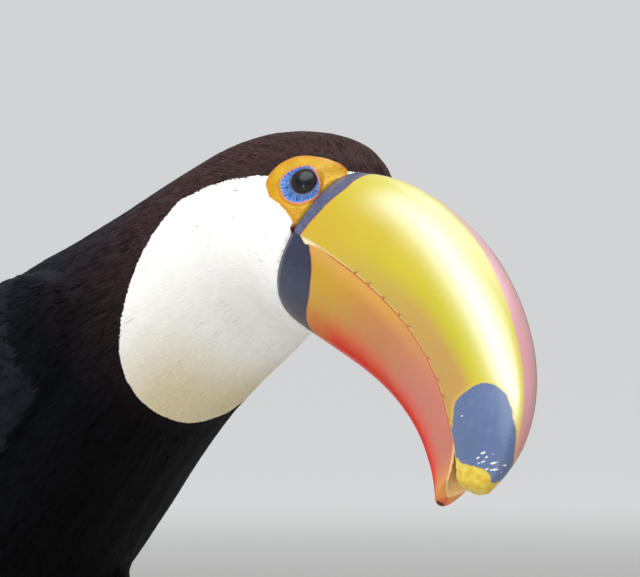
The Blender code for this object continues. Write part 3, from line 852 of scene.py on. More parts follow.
def keep_largest(shape):
    """Deletes all but the largest connected piece."""
    unseen, groups = set(shape.verts), []
    while unseen:
        stack = [unseen.pop()]
        group = set(stack)
        while stack:
            near = {vert for edge in stack.pop().link_edges for vert in edge.verts} & unseen
            unseen -= near
            group |= near
            stack.extend(near)
        groups.append(group)
    largest = max(groups, key=len)
    bmesh.ops.delete(shape, geom=[v for g in groups if g is not largest for v in g], context="VERTS")


def leg_ends(sign):
    """The hock of one leg, and the hub of its toes."""
    hock = np.array((FOOT_X + HOCK[0], MIDDLE_Y + sign * HOCK[1], HOCK[2]))
    return hock, np.array((FOOT_X, MIDDLE_Y + sign * STANCE, TOE_HEIGHT + HUB_RISE))


def leg_lines(sign):
    """The middle lines of one leg: shank first, then each toe, as arrays of points."""
    hock, foot = leg_ends(sign)
    lines = [np.linspace(hock + unit(hock - foot) * 9, foot, 60)]
    u = np.linspace(0, 1, 40)
    arch = HUB_RISE * (1 - u) ** 2 + 0.5 * np.sin(math.pi * np.minimum(u * 1.6, 1)) * (1 - u)
    for reach, heading in TOES:
        turn = math.radians(heading) * sign
        line = np.stack((math.cos(turn) * reach * u, math.sin(turn) * reach * u, TOE_HEIGHT + arch), 1)
        lines.append(line + foot * (1, 1, 0))
    return lines


LEG_LINES = [leg_lines(sign) for _, sign in SIDES]
LEG_TOP = 64.0  # no bare leg above this


def leg_place(points):
    """For each point: distance from the nearest leg or toe line, run along it, height round it, and which
    line of the leg it is."""
    gap = np.full(len(points), np.inf)
    along, over, kind = np.zeros((3, len(points)))
    low = np.flatnonzero(points[:, 2] < LEG_TOP)
    for lines in LEG_LINES:
        for number, line in enumerate(lines):
            off = points[low, None] - line
            best = length(off).argmin(1)
            off = off[np.arange(len(low)), best]
            better = length(off) < gap[low]
            chosen = low[better]
            gap[chosen] = length(off)[better]
            along[chosen] = run_along(line)[best[better]]
            kind[chosen] = number
            heading = unit(line[-1] - line[0])
            front = np.array((0, 0, 1.0)) if number else np.cross(np.cross(heading, (1, 0, 0)), heading)
            over[chosen] = unit(off[better]) @ front
    return gap, along, over, kind


def scutes(points):
    """How far each point of the legs stands out, and its distance from the leg's middle line. There are
    plates on the front and on the toes, and fine scales behind."""
    gap, along, over, kind = leg_place(points)
    pitch = np.where(kind > 0, 2.6, 4.2)
    phase = along / pitch + 0.15 * np.sin(over * 5)
    plates = -0.3 * bell((phase - np.round(phase)) * pitch, 0.42) * ramp(over, -0.1, 0.35)
    cell = np.minimum(np.abs(np.sin(along * 1.9 + 2 * np.round(over * 6))), np.abs(np.sin(over * 18.8)))
    return plates - 0.14 * bell(cell, 0.35) * ramp(over, 0.3, -0.1), gap


def tree_of(name):
    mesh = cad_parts[name].data
    mesh.calc_loop_triangles()
    corners = [tuple(t.vertices) for t in mesh.loop_triangles]
    return BVHTree.FromPolygons([v.co / MM for v in mesh.vertices], corners)


def regions(points):
    region = np.full(len(points), BODY)
    for number, name in PARTS:
        tree, limit = tree_of(name), LEG_REACH if number == LEG else PART_REACH
        here = [tree.find_nearest(p, limit)[0] is not None for p in points.tolist()]
        region = np.where(here, number, region)
    return region


def growth(points):
    """The markings, the region and the coat's depth at each point."""
    marks, region = markings(points), regions(points)
    depth = through(COAT_DEPTHS, np.clip(marks["down"], 0, 14))
    depth = np.where(region == WING, WING_DEPTH, np.where(region == THIGH, THIGH_DEPTH, depth))
    depth = mix(FACE_DEPTH, depth, ramp(marks["bare"], -0.5, 5.5))
    return marks, region, np.where(region == LEG, 0.0, depth)


class Ground:
    """The outline that the coat's tips reach: its points, normals, faces, and what grows on it."""

    def __init__(self, mesh):
        self.points, self.normals = coordinates(mesh), normals(mesh)
        mesh.calc_loop_triangles()
        self.triangles = read_all(mesh.loop_triangles, "vertices", 3, np.int32)
        self.corner = self.triangles[:, 0]
        self.tree = BVHTree.FromPolygons(self.points.tolist(), self.triangles.tolist())
        self.marks, self.region, self.depth = growth(self.points)
        a, b, c = (self.points[self.triangles[:, k]] for k in range(3))
        self.areas = length(np.cross(b - a, c - a)) / 2

    def nearest(self, points):
        """Nearest places on the outline, with smooth normals, the nearest corner's number, and a reader that
        blends numbers kept for each of the outline's points."""
        found = [self.tree.find_nearest(p) for p in points.tolist()]
        places = np.array([f[0] for f in found])
        triangle = self.triangles[np.array([f[2] for f in found])]
        a, b, c = (self.points[triangle[:, k]] for k in range(3))
        weights = [length(np.cross(q - places, r - places)) for q, r in ((b, c), (c, a), (a, b))]
        weights = np.stack(weights, 1) + 1e-9
        weights /= weights.sum(1, keepdims=True)
        out = unit((self.normals[triangle] * weights[..., None]).sum(1))
        corner = triangle[np.arange(len(places)), weights.argmax(1)]
        return places, out, corner, lambda numbers: (numbers[triangle] * weights).sum(1)


EYE_FINE = 23.0  # the skin's mesh is finer this near an eye
EYE_SIDE = 8.0  # nothing of an eye is nearer than this to the head's middle plane
LEG_FINE = 8.0  # and finer this near a leg's middle line
LEG_FINE_TOP = 60.0
SKIN_ROUNDS = 45
FINE_ROUNDS = 6
LID_OPENING = 4.5
LID_RIM = 0.45


def subdivide(mesh, chosen, cuts):
    """Splits the edges between chosen points."""
    with editing(mesh) as shape:
        edges = [e for e in shape.edges if chosen[e.verts[0].index] and chosen[e.verts[1].index]]
        bmesh.ops.subdivide_edges(shape, edges=edges, cuts=cuts, use_grid_fill=True)
        bmesh.ops.triangulate(shape, faces=[f for f in shape.faces if len(f.verts) > 4])


def sculpt_eyes(points):
    """Draws the lids over each ball and opens them, in the plane square to the eye's axis. Also gives each
    point's distance and angle from the eye's middle in that plane."""
    head = to_head(points)
    side, ahead, above, out = eye_plane(head)
    middle, angle = np.hypot(ahead, above), np.arctan2(above, ahead)
    near = (middle < 15) & (out > -7) & (np.abs(head[:, 1]) > EYE_SIDE)
    ball = np.sqrt(np.maximum(EYE_RADIUS**2 - middle**2, 0.0))
    lid = np.sqrt(np.maximum((EYE_RADIUS + LID_RIM) ** 2 - middle**2, 0.0)) - 30 * ramp(middle, 6.9, 9.5)
    soft = 1.3
    blended = mix(soft * np.logaddexp(out / soft, lid / soft), out, ramp(middle, 10, 14))
    opening = LID_OPENING + 0.1 * np.sin(3 * angle)
    margin = ball + mix(-1.3, LID_RIM + 0.12, ramp(middle, opening - 0.75, opening + 0.75))
    margin = mix(margin, blended, ramp(middle, opening + 0.7, opening + 1.2))
    target = np.where(middle < opening + 1.2, margin, blended)
    axis = np.stack((np.ones_like(side), side, np.ones_like(side)), 1) * EYE_OUT @ HEAD_TURN.T
    return points + axis * np.where(near, target - out, 0.0)[:, None], middle, angle


# A crease across the throat: angle round the body from the ridge, and place down the body.
CREASE = ((-202, 3.48), (-187, 3.32), (-171, 3.08), (-148, 2.52))


def crease_throat(points, out):
    """Presses a soft fold into the throat, with a swell behind it."""
    t, angle = body_place(points)
    angle = np.where(angle > 60, angle - 360, angle)
    behind = (t - through(CREASE, np.clip(angle, -202, -148))) * OVAL_PACE
    share = ramp(angle, -216, -198) * ramp(angle, -134, -152) * (t < 5)
    return points + out * ((0.5 * bell(behind - 4.5, 4.0) - 0.55 * bell(behind, 2.8)) * share)[:, None]


def draw_back(points, out):
    """Clears the bill's base, and lowers the forehead to it."""
    x, y, z = to_head(points).T
    slim = ramp(x, -33, -21) * ramp(z, 24, 35) * ramp(np.abs(y), 0, 7) * (x < 12)
    head = to_head(points - out * (2.6 * slim)[:, None])
    front = ramp(head[:, 0], -15, -1) * (head[:, 0] < 12)
    head[:, 0] -= front * (3.0 + 3.6 * ramp(head[:, 2], 4, 24))
    head[:, 2] -= 1.6 * front * ramp(head[:, 2], 20, 33)
    return from_head(head)


def make_skin(material):
    """The one skin, and the outline it is sunk from."""
    mesh = fused_flesh()
    points = relax(mesh, coordinates(mesh), SKIN_ROUNDS)
    set_coordinates(mesh, points)
    out = normals(mesh)
    set_coordinates(mesh, crease_throat(draw_back(points - out * SWELL, out), out))
    ground = Ground(mesh)
    # Only the fleshy root of the tail stays. Faces and legs get a finer mesh.
    with editing(mesh) as shape:
        cut_behind(shape, TAIL_ROOT + TAIL_BACK * TAIL_STUB, TAIL_BACK)
    head = to_head(coordinates(mesh))
    _, ahead, above, out = eye_plane(head)
    face = (np.hypot(ahead, above) < EYE_FINE) & (out > -9)
    face &= (np.abs(head[:, 1]) > EYE_SIDE) & (head[:, 2] > -10)
    subdivide(mesh, face, 3)
    points = coordinates(mesh)
    subdivide(mesh, (leg_place(points)[0] < LEG_FINE) & (points[:, 2] < LEG_FINE_TOP), 2)
    points = coordinates(mesh)
    free = np.hypot(*eye_plane(to_head(points))[1:3]) < EYE_FINE - 2
    free |= leg_place(points)[0] < LEG_FINE - 1
    points = relax(mesh, points, FINE_ROUNDS, fixed=1.0 - free)
    set_coordinates(mesh, points)
    marks, region, depth = growth(points)
    points = points - normals(mesh) * depth[:, None]
    points, middle, angle = sculpt_eyes(points)
    head = to_head(points)
    plates, gap = scutes(points)
    legs = ramp(gap, LEG_FINE, LEG_FINE - 1.5) * (region == LEG)
    set_coordinates(mesh, points)
    # Fine relief: spokes and a rim on the blue ring, warts and folds on the bare skin, plates on the legs.
    ring, bare = ramp(marks["ring"], 0.4, -0.4), ramp(marks["bare"], 1.0, -0.5)
    spokes = np.sin(angle * 46 + 1.6 * np.sin(angle * 7) + wobble(points, 2.2) * 2.2)
    height = 0.14 * spokes * ring * ramp(middle, 5.2, 6.4) + 0.22 * bell(marks["ring"], 0.45) * bare
    height += 0.1 * bare * (1 - ring) * wobble(points, 0.9, 5)
    folds = np.sin(marks["ring"] * 3.2 + wobble(points, 3, 2)) * ramp(marks["ring"], 3, 0.4)
    height += 0.12 * bare * (1 - ring) * folds
    height = height * ramp(middle, 5.0, 5.8) + plates * legs
    points = points + normals(mesh) * height[:, None]
    points[:, 2] = np.maximum(points[:, 2], 0.0)
    set_coordinates(mesh, points)
    gape = np.hypot((head[:, 0] + 2.0) / 2.4, (head[:, 2] - 0.6) / 2.0)
    values = {**marks, "eye": middle, "spoke": angle, "leg": legs, "plate": plates, "gape": gape}
    skin = finish_object(add_object("skin", mesh), material, values)
    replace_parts(skin, "head", "neck", "trunk", "thigh_left", "thigh_right", "wing_left", "wing_right", "leg_left",
                "leg_right")
    return ground


def crown_colour(p, tone):
    """Soot black, warmer over crown and nape; lighter and bluer on the back as a painted sheen, and darker below as
    painted shade.
    """
    turn = p.math("ABSOLUTE", p.number("turn"))
    black = p.mix(tone, rgb(2, 3, 5), rgb(10, 12, 19))
    # Painted sheen: near the ridge of the back the black is lighter and bluer.
    black = p.mix(p.step(turn, 82, 40), black, p.mix(tone, rgb(14, 15, 21), rgb(30, 31, 43)))
    # Painted shade: the underside is darker.
    black = p.mix(p.step(turn, 112, 150), black, p.mix(tone, rgb(1, 1, 2), rgb(6, 7, 10)))
    brown = p.mix(tone, rgb(36, 25, 24), rgb(70, 51, 50))
    return p.mix(p.step(p.number("down"), 6.2, 3.4), black, brown)


def plumage_colour(p, tone, edge):
    """White bib on the dark coat, cream below."""
    turn = p.math("ABSOLUTE", p.number("turn"))
    white = p.mix(tone, rgb(247, 246, 242), rgb(253, 253, 251))
    under = p.times(p.step(turn, 106, 158), p.step(p.number("down"), 3.2, 5.4))
    white = p.mix(under, white, p.mix(tone, rgb(224, 211, 170), rgb(234, 223, 190)))
    return p.mix(p.step(edge, -0.35, 0.35), crown_colour(p, tone), white)


def skin_material():
    p = Paint("skin", Roughness=0.5, Subsurface_Weight=0.1, Subsurface_Scale=0.002, Coat_Weight=0.04,
              Specular_IOR_Level=0.35, Subsurface_Radius=(1.0, 0.4, 0.15))
    ring, bare, eye, angle = p.numbers("ring", "bare", "eye", "spoke")
    mottle, fine = p.noise(160, 4), p.noise(900, 4, 0.6)
    # Orange skin, redder by the ring, at its own edge and in its pores. Feathers begin past it.
    p.start(p.mix(p.step(mottle, 0.3, 0.7), rgb(188, 145, 6), rgb(202, 160, 16)))
    p.over(p.step(ring, 2.2, 0.3), rgb(202, 112, 12), 0.55)
    p.over(p.step(bare, -2.6, 0.0), rgb(202, 124, 14), 0.55)
    p.over(p.step(fine, 0.42, 0.3), rgb(192, 106, 10), 0.35)
    coat = plumage_colour(p, mottle, p.plus(p.number("bib"), p.line(p.noise(500, 3), 1.6, -0.8)))
    p.over(p.step(bare, 0.1, 0.9), coat)
    # The corner of the mouth.
    gape, lines = p.plus(p.number("gape"), p.line(mottle, 0.5, -0.25)), p.step(fine, 0.45, 0.6)
    p.over(p.step(gape, 1.5, 1.0), p.mix(lines, rgb(176, 96, 40), rgb(120, 52, 30)))
    p.over(p.step(gape, 1.0, 0.7), p.mix(lines, rgb(40, 18, 16), rgb(96, 36, 24)))
    # The blue ring: streaked outward, more violet behind, darker by the lids, with a pink rim.
    spokes = p.noise(1.0, 3, 0.6, p.combine(p.times(angle, 9.0), p.times(eye, 0.35)))
    blue = p.mix(p.step(spokes, 0.35, 0.65), rgb(38, 88, 176), rgb(112, 160, 212))
    back = p.step(p.math("COSINE", p.plus(angle, 0.5)), -0.55, -0.95)
    blue = p.mix(p.times(back, 0.55), blue, rgb(60, 70, 160))
    blue = p.mix(p.times(p.step(eye, 6.3, 5.2), 0.8), blue, rgb(38, 60, 120))
    edge = p.plus(ring, p.line(fine, 0.5, -0.25))
    p.over(p.step(edge, 0.75, 0.35), rgb(216, 128, 116), 0.75)
    p.over(p.step(edge, 0.2, -0.25), blue)
    p.over(p.step(eye, 5.35, 4.95), rgb(30, 20, 18))
    horn = p.mix(p.step(mottle, 0.3, 0.7), rgb(92, 104, 122), rgb(136, 148, 162))
    p.over(p.number("leg"), p.mix(p.step(p.number("plate"), -0.02, -0.2), horn, rgb(60, 66, 78)))
    return p.join(p.plus(fine, p.times(spokes, 0.5)), 0.35, 0.0003, Roughness=p.line(fine, 0.2, 0.32))


# ---- eyes and claws

EYE_SECTORS = 72


def eye_material():
    p = Paint("eye_gloss", Roughness=0.4, IOR=1.38, Coat_Weight=0.28, Coat_Roughness=0.03,
              Specular_Tint=(0.6, 0.8, 1.0, 1.0))
    polar, around = p.numbers("polar", "around")
    streak = p.noise(1.0, 3, 0.6, p.combine(p.times(around, 8.0), polar))
    iris = p.mix(streak, rgb(20, 11, 8), rgb(52, 29, 18))
    p.start(p.mix(p.step(polar, 0.42, 0.47), rgb(3, 3, 4), iris))
    p.over(p.step(polar, 0.66, 0.74), rgb(16, 11, 11))
    return p.join(Roughness=p.line(streak, 0.05, 0.38))


def make_eyes(material):
    polar = np.linspace(0, math.pi, 61)[1:-1, None]
    around = np.arange(EYE_SECTORS) * math.tau / EYE_SECTORS
    for name, sign in SIDES:
        axis = HEAD_TURN @ (EYE_OUT * (1, sign, 1))
        across = unit(np.cross((0, 0, 1.0), axis))
        up = np.cross(axis, across)
        ring = np.cos(around)[:, None] * across + np.sin(around)[:, None] * up
        rows = np.cos(polar)[..., None] * axis + np.sin(polar)[..., None] * ring
        cornea = 1 + 0.035 * bell(polar, 0.55)
        points = from_head(EYE_CENTRE * (1, sign, 1)) + rows * (EYE_RADIUS * cornea)[..., None]
        numbers = {"polar": polar + 0 * around, "around": np.cos(around * 2) + 0 * polar}
        numbers = {key: value.ravel() for key, value in numbers.items()}
        ball = make_object(name + "_eyeball", points.reshape(-1, 3), close_grid(points), material, numbers)
        face_out(ball)
        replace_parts(ball, "eye_" + name)


def claw_material():
    p = Paint("claw_horn", Roughness=0.3, Coat_Weight=0.3)
    streak = p.streaks(150, 150, 900)
    p.start(p.mix(p.step(streak, 0.3, 0.7), rgb(34, 32, 34), rgb(86, 82, 84)))
    return p.join(streak, 0.3, 0.0003)


def make_claws(material):
    for node in sorted(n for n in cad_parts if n.startswith("claw_")):
        mesh = new_mesh(node.replace("claw_", "nail_"), cad_shape(node))
        nail = add_object(mesh.name, mesh)
        nail.data = modified(nail, "SUBSURF", levels=2, render_levels=2)
        finish_object(nail, material)
        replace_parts(nail, node)


# ---- tufts

TUFTS_EACH = 12000
PATCH = 0.0015  # half a tuft's size on the unwrap
TUFT_STOPS = np.array((0.0, 0.45, 0.84, 1.0))
TUFT_TAPER = np.array((0.6, 1.0, 0.8, 0.0))
TUFT_SUNK = 0.35  # how far a root lies under the skin
TUFT_ROUND = 0.22  # how far the shading leans out at a tuft's sides
# Roots tried for each square of the spacing, and how near two may lie as a share of it.
CROWDING = 1.9
CLOSEST = 0.74


def unwrap(down, turn):
    """A place on the body's unwrap: round it across, and down its length upward."""
    return np.stack((0.03 + 0.94 * (turn + 180) / 360, 0.03 + 0.94 * (np.clip(down, -1, 14) + 1) / 15), -1)


def scatter(ground, wanted, spacing, rng):
    """Roots strewn evenly over the wanted triangles, about spacing apart."""
    total = (np.where(wanted, CROWDING / spacing**2, 0.0) * ground.areas).cumsum()
    count = int(total[-1])
    chosen = np.minimum(np.searchsorted(total, rng.random(count) * total[-1]), len(total) - 1)
    a, b = rng.random((2, count))
    flip = a + b > 1
    a, b = np.where(flip, 1 - a, a), np.where(flip, 1 - b, b)
    first, second, third = (ground.points[ground.triangles[chosen, k]] for k in range(3))
    places = first + (second - first) * a[:, None] + (third - first) * b[:, None]
    gap = CLOSEST * spacing[chosen]
    tree = KDTree(count)
    for i, place in enumerate(places.tolist()):
        tree.insert(place, i)
    tree.balance()
    free = np.ones(count, bool)
    for i, place in enumerate(places.tolist()):
        if free[i]:
            for _, other, _ in tree.find_range(place, gap[i]):
                if other > i:
                    free[other] = False
    return places[free], chosen[free]


def lie(ground, places, corner):
    """Which way the plumage points: back along body and tail, out from the bill's base, down the thighs."""
    down = ground.marks["down"][corner]
    tail = ramp(down, 11.0, 12.6)[:, None]
    radial = unit((to_head(places) - (0, 0, 3.0)) * (0, 1, 1)) @ HEAD_TURN.T
    heading = unit(-body_frame(down)[1] * (1 - tail) + TAIL_BACK * tail)
    heading = heading + radial * (0.8 * ramp(down, 0.9, 0.0))[:, None]
    for _, sign in SIDES:
        hock, foot = leg_ends(sign)
        thigh = unit(np.array((6.0, 12.0 * sign, -46.0)))
        thigh = np.where(places[:, 2:3] < HOCK[2] + 22, unit(foot - hock) * 0.9 + thigh * 0.1, thigh)
        here = (ground.region[corner] == THIGH) * ((places[:, 1] - MIDDLE_Y) * sign > 0)
        heading = mix(heading, thigh, (here * ramp(places[:, 2], 100, 80))[:, None])
    return heading


def lay(ground, roots, lengths, swerve):
    """Paths over the outline from each root, the way the plumage lies, with a row at each stop: places,
    outward directions, the root's corner, and the markings at each stop."""
    wanted = {"bib": ground.marks["bib"], "down": ground.marks["down"], "turn": np.abs(ground.marks["turn"])}
    rows = [ground.nearest(roots)]
    for stride in np.diff(TUFT_STOPS):
        places, out, corner, _ = rows[-1]
        heading = lie(ground, places, corner)
        heading = heading + np.cross(out, heading) * swerve[:, None]
        heading = unit(heading - out * (heading * out).sum(1, keepdims=True))
        rows.append(ground.nearest(places + heading * (lengths * stride)[:, None]))
    marks = {key: np.stack([row[3](numbers) for row in rows], 1) for key, numbers in wanted.items()}
    return np.stack([row[0] for row in rows], 1), np.stack([row[1] for row in rows], 1), rows[0][2], marks


def tuft_faces(rows):
    """Triangles of one tuft: a closed three-sided tapering blade."""
    faces = [(0, 2, 1)]
    for r in range(rows - 2):
        for k in range(3):
            a, b = r * 3 + k, r * 3 + (k + 1) % 3
            faces += [(a, b, b + 3), (a, b + 3, a + 3)]
    last, tip = (rows - 2) * 3, (rows - 1) * 3
    faces += [(last + k, last + (k + 1) % 3, tip) for k in range(3)]
    return np.array(faces)


def make_tufts(name, slot, material, ground, roots, lengths, widths, rng, lift, sway, thick):
    """Narrow tapering tufts rooted under the skin, their tips on the outline. Split into pieces by number."""
    paths, outs, corner, marks = lay(ground, roots, lengths, rng.normal(0, sway, len(roots)))
    u = TUFT_STOPS
    # One sideways direction for a whole tuft: a twist would turn its underside out.
    side = unit(np.cross(outs, np.gradient(paths, axis=1)).mean(1, keepdims=True)) + 0 * outs
    tips = rng.uniform(0.0, lift, len(roots))
    rise = (-(ground.depth[corner] + TUFT_SUNK))[:, None] * (1 - u) ** 5 + tips[:, None] * u**2
    middle = paths + outs * rise[..., None]
    half = (widths / 2)[:, None, None] * TUFT_TAPER[:, None]
    tall = np.minimum(half * 0.3, thick)

    def by_corner(left, right, top, tip):
        """Rows of three corners each, and the tip, as one list for each tuft."""
        body = np.stack((left, right, top), 2)[:, :-1].reshape(len(roots), -1, 3)
        return np.concatenate((body, tip[:, -1:]), 1)

    low = middle - outs * tall * 0.6
    points = by_corner(low - side * half, low + side * half, middle + outs * tall, middle)
    shading = unit(by_corner(outs - side * TUFT_ROUND, outs + side * TUFT_ROUND, outs, outs))
    per = points.shape[1]
    faces = tuft_faces(len(u))
    marks["bib"] = marks["bib"] + rng.normal(0, 0.25, len(roots))[:, None]
    # White above the tail's root, red below it.
    down, turn = marks["down"], np.abs(marks["turn"])
    marks["rump"] = np.where(down > 10.6, ramp(down, 10.8, 11.3) * ramp(turn, 88, 70), 0.0)
    marks["vent"] = np.where(down > 10.2, ramp(down, 10.4, 11.0) * ramp(turn, 92, 108), 0.0)
    marks = {key: np.concatenate((np.repeat(m[:, :-1], 3, 1), m[:, -1:]), 1) for key, m in marks.items()}
    marks["tone"] = np.repeat(rng.random(len(roots))[:, None], per, 1)
    across = np.append(np.tile((-1.0, 1.0, 0.0), len(u) - 1), 0.0)
    local = np.stack((across, np.append(np.repeat(u[:-1], 3), 1.0) * 2 - 1), -1) * PATCH
    uv = unwrap(ground.marks["down"][corner], ground.marks["turn"][corner])[:, None] + local
    for part, start in enumerate(range(0, len(roots), TUFTS_EACH)):
        rows = slice(start, start + TUFTS_EACH)
        first = np.arange(len(points[rows])) * per
        all_faces = (faces + first[:, None, None]).reshape(-1, 3)
        numbers = {key: m[rows].ravel() for key, m in marks.items()}
        made = make_object(f"{name}_{part + 1}", points[rows].reshape(-1, 3), all_faces, material, numbers,
                           uv[rows].reshape(-1, 2)[all_faces.ravel()])
        made.data.normals_split_custom_set_from_vertices(shading[rows].reshape(-1, 3))


def plumage_material():
    p = Paint("plumage", Roughness=0.7, Sheen_Weight=0.01, Sheen_Roughness=0.4, Specular_IOR_Level=0.06)
    mixed = p.line(p.math("SUBTRACT", p.noise(700, 3), 0.5), 0.5, p.number("tone"))
    p.start(plumage_colour(p, mixed, p.number("bib")))
    p.over(p.step(p.number("rump"), 0.4, 0.6), p.mix(mixed, rgb(226, 220, 206), rgb(246, 243, 236)))
    p.over(p.step(p.number("vent"), 0.4, 0.6), p.mix(mixed, rgb(150, 18, 14), rgb(196, 40, 26)))
    return p.join(p.streaks(900, 900, 900, detail=3), 0.2, 0.0002)


def make_plumage(ground, material):
    rng = np.random.default_rng(11)
    marks = {key: value[ground.corner] for key, value in ground.marks.items()}
    bib, bare, down = marks["bib"], marks["bare"], marks["down"]
    region = ground.region[ground.corner]
    points = ground.points[ground.corner]
    in_bill = (to_head(points)[:, 0] > 3.5) & (down < 1)
    free = (bare > -1.0) & ~in_bill & (region != LEG)
    face = ramp(bare, 14, 1) * (down < 3)
    body = region == BODY

    def grow(name, slot, wanted, spacing, reach, width, bib_over=-math.inf, bib_under=math.inf, **look):
        roots, chosen = scatter(ground, wanted, spacing * np.ones(len(wanted)), rng)
        exact = markings(roots)
        keep = (exact["bare"] > 0.15) & (exact["bib"] > bib_over) & (exact["bib"] <= bib_under)
        roots, small = roots[keep], face[chosen[keep]]
        lengths = reach * mix(1.0, 0.42, small) * rng.uniform(0.8, 1.15, len(roots))
        widths = width * mix(1.0, 0.6, small) * rng.uniform(0.8, 1.2, len(roots))
        make_tufts(name, slot, material, ground, roots, lengths, widths, rng, **look)

    size = mix(1.0, 0.62, face)
    grow("bib_feathers", "white_plumage", (bib > -7) & (down < 6.3) & free & body, 0.76 * size, 10.0, 0.92,
         bib_over=-3, lift=0.04, thick=0.04, sway=0.06)
    grow("crown_feathers", "black_plumage", (bib <= -1) & (down < 4.2) & free & body, 0.85 * size, 9.5, 0.95,
         bib_under=-2, lift=0.07, thick=0.05, sway=0.09)
    trunk = body | (region == THIGH) & (points[:, 2] > 84) | (region == WING) & (down < 6.0)
    trunk &= (bib <= -1) & (down >= 4.2) & (down < 10.9)
    grow("body_feathers", "black_plumage", trunk, 1.55, 17.0, 1.9,
         bib_under=-2, lift=0.12, thick=0.07, sway=0.1)
    rear = (down >= 10.9) & (body | (region == TAIL)) & (down < 13.6)
    grow("tail_coverts", "black_plumage", rear, 2.0, 22.0, 3.2, lift=0.15, thick=0.09, sway=0.1)
    thighs = region == THIGH
    grow("thigh_feathers", "black_plumage", thighs, 1.35, 12.0, 1.6, lift=0.12, thick=0.07, sway=0.12)


# ---- wing and tail feathers

WING_FROM = 5.55
WING_TO = TRUNK_END + 1.0
WING_CLEARANCE = 1.3
# From here back the wing stands off the rump by this much for each step down the body.
RUMP_FROM = 9.0
RUMP_ROOM = 2.8
TIP_PACE = 24.0
WING_THICKNESS = 7.0
# Place along the wing, and its upper and lower edges in degrees from the ridge.
WING_EDGES = ((0, 70, 84), (0.03, 58, 95), (0.1, 44, 102), (0.27, 29, 106), (0.5, 17, 104), (0.75, 11, 90),
              (0.92, 10, 66), (1.0, 13, 44))
# From the long tip feathers out to the smallest coverts: first root, last root, rows, upper and lower limits,
# width, length, sunk root, raised tip.
WING_RANKS = (
    (7.9, 8.9, 6, 0.70, 1.0, 13.0, 105.0, -2.8, -1.0),
    (7.6, 9.3, 9, 0.06, 0.74, 17.0, 74.0, -2.6, -0.7),
    (7.3, 8.6, 4, 0.05, 0.98, 11.0, 38.0, -2.4, -0.45),
    (6.7, 7.6, 4, 0.04, 0.98, 9.0, 25.0, -2.2, -0.2),
    (6.1, 7.0, 6, 0.03, 0.98, 6.5, 15.0, -2.2, 0.0),
)
COVERTS = WING_RANKS[2:]
VANE_ACROSS = np.linspace(-1, 1, 7)


def powered(value, power):
    return np.sign(value) * np.abs(value) ** power


def wing_surface(t, v, lift, sign):
    """Places on the folded wing's outer face: t down the body, v from the upper edge, 0, to the lower, 1."""
    u = np.clip((t - WING_FROM) / (WING_TO - WING_FROM), 0, 1)
    upper, lower = through(WING_EDGES, u), through(WING_EDGES, u, 2)
    angle = np.radians(upper + (lower - upper) * v)
    middle, ahead, side, up, sizes = body_frame(np.minimum(t, TRUNK_END))
    room = np.maximum(t - RUMP_FROM, 0) * RUMP_ROOM
    past = np.maximum(t - TRUNK_END, 0)
    middle = middle - ahead * (past * TIP_PACE)[..., None]
    swell = (0.25 + 0.75 * np.sin(math.pi * np.minimum(u * 1.25 + 0.12, 1)) ** 0.7) * WING_THICKNESS
    total = WING_CLEARANCE + swell * (0.18 + 0.82 * (1 - (2 * np.clip(v, 0, 1) - 1) ** 4)) + lift
    across = powered(np.sin(angle), 0.9) * (sizes[..., 0] + room - 6 * past + total)
    rise = powered(np.cos(angle), 0.9) * (sizes[..., 1] + room - 3 * past + total)
    return middle + side * (sign * across)[..., None] + up * rise[..., None]


def vane_faces(rows):
    """Quads of one closed blade: an upper and a lower grid joined round the edge."""
    upper = np.arange(rows * len(VANE_ACROSS)).reshape(rows, -1)
    lower = upper + upper.size
    sheets = [np.stack((upper[:-1, :-1], upper[:-1, 1:], upper[1:, 1:], upper[1:, :-1]), -1).reshape(-1, 4),
              np.stack((lower[:-1, :-1], lower[1:, :-1], lower[1:, 1:], lower[:-1, 1:]), -1).reshape(-1, 4)]
    edge = np.concatenate((upper[0, :-1], upper[:-1, -1], upper[-1, :0:-1], upper[:0:-1, 0]))
    under = edge + upper.size
    return np.concatenate(sheets + [np.stack((edge, under, np.roll(under, -1), np.roll(edge, -1)), -1)])


class Vanes:
    """Collects closed feather blades, each a grid of places with its outward directions."""

    def __init__(self):
        self.points, self.faces, self.uv, self.numbers = [], [], [], []
        self.total = 0

    def add(self, grid, out, thick, root_uv, tone, down):
        rows, columns = grid.shape[:2]
        run = np.linspace(0, 1, rows)[:, None]
        shaft = bell(VANE_ACROSS, 0.16) * 0.16 * (1 - run * 0.7)
        both = np.stack((grid + out * shaft[..., None], grid - out * thick))
        local = np.stack(np.broadcast_arrays(VANE_ACROSS, run * 2 - 1), -1) * PATCH
        self.points.append(both.reshape(-1, 3))
        self.faces.append(vane_faces(rows) + self.total)
        self.uv.append(np.tile((root_uv + local).reshape(-1, 2), (2, 1)))
        flat = np.zeros((2, rows, columns))
        self.numbers.append([(flat + value).ravel() for value in (run, VANE_ACROSS, tone, down)])
        self.total += flat.size

    def make(self, name, material):
        faces = np.concatenate(self.faces)
        numbers = dict(zip(("run", "across", "tone", "down"), np.concatenate(self.numbers, 1)))
        uv = np.concatenate(self.uv)[faces.ravel()]
        made = make_object(name, np.concatenate(self.points), faces, material, numbers, uv)
        return made


def vane_outline(run, blunt, root=0.45):
    """Half width of a feather along it, 1 at its broadest."""
    end = np.clip((run - (1 - blunt)) / blunt, 0, 1)
    return mix(root, 1.0, smooth(run / 0.35)) * np.sqrt(np.maximum(1 - end**2.4, 0.003))


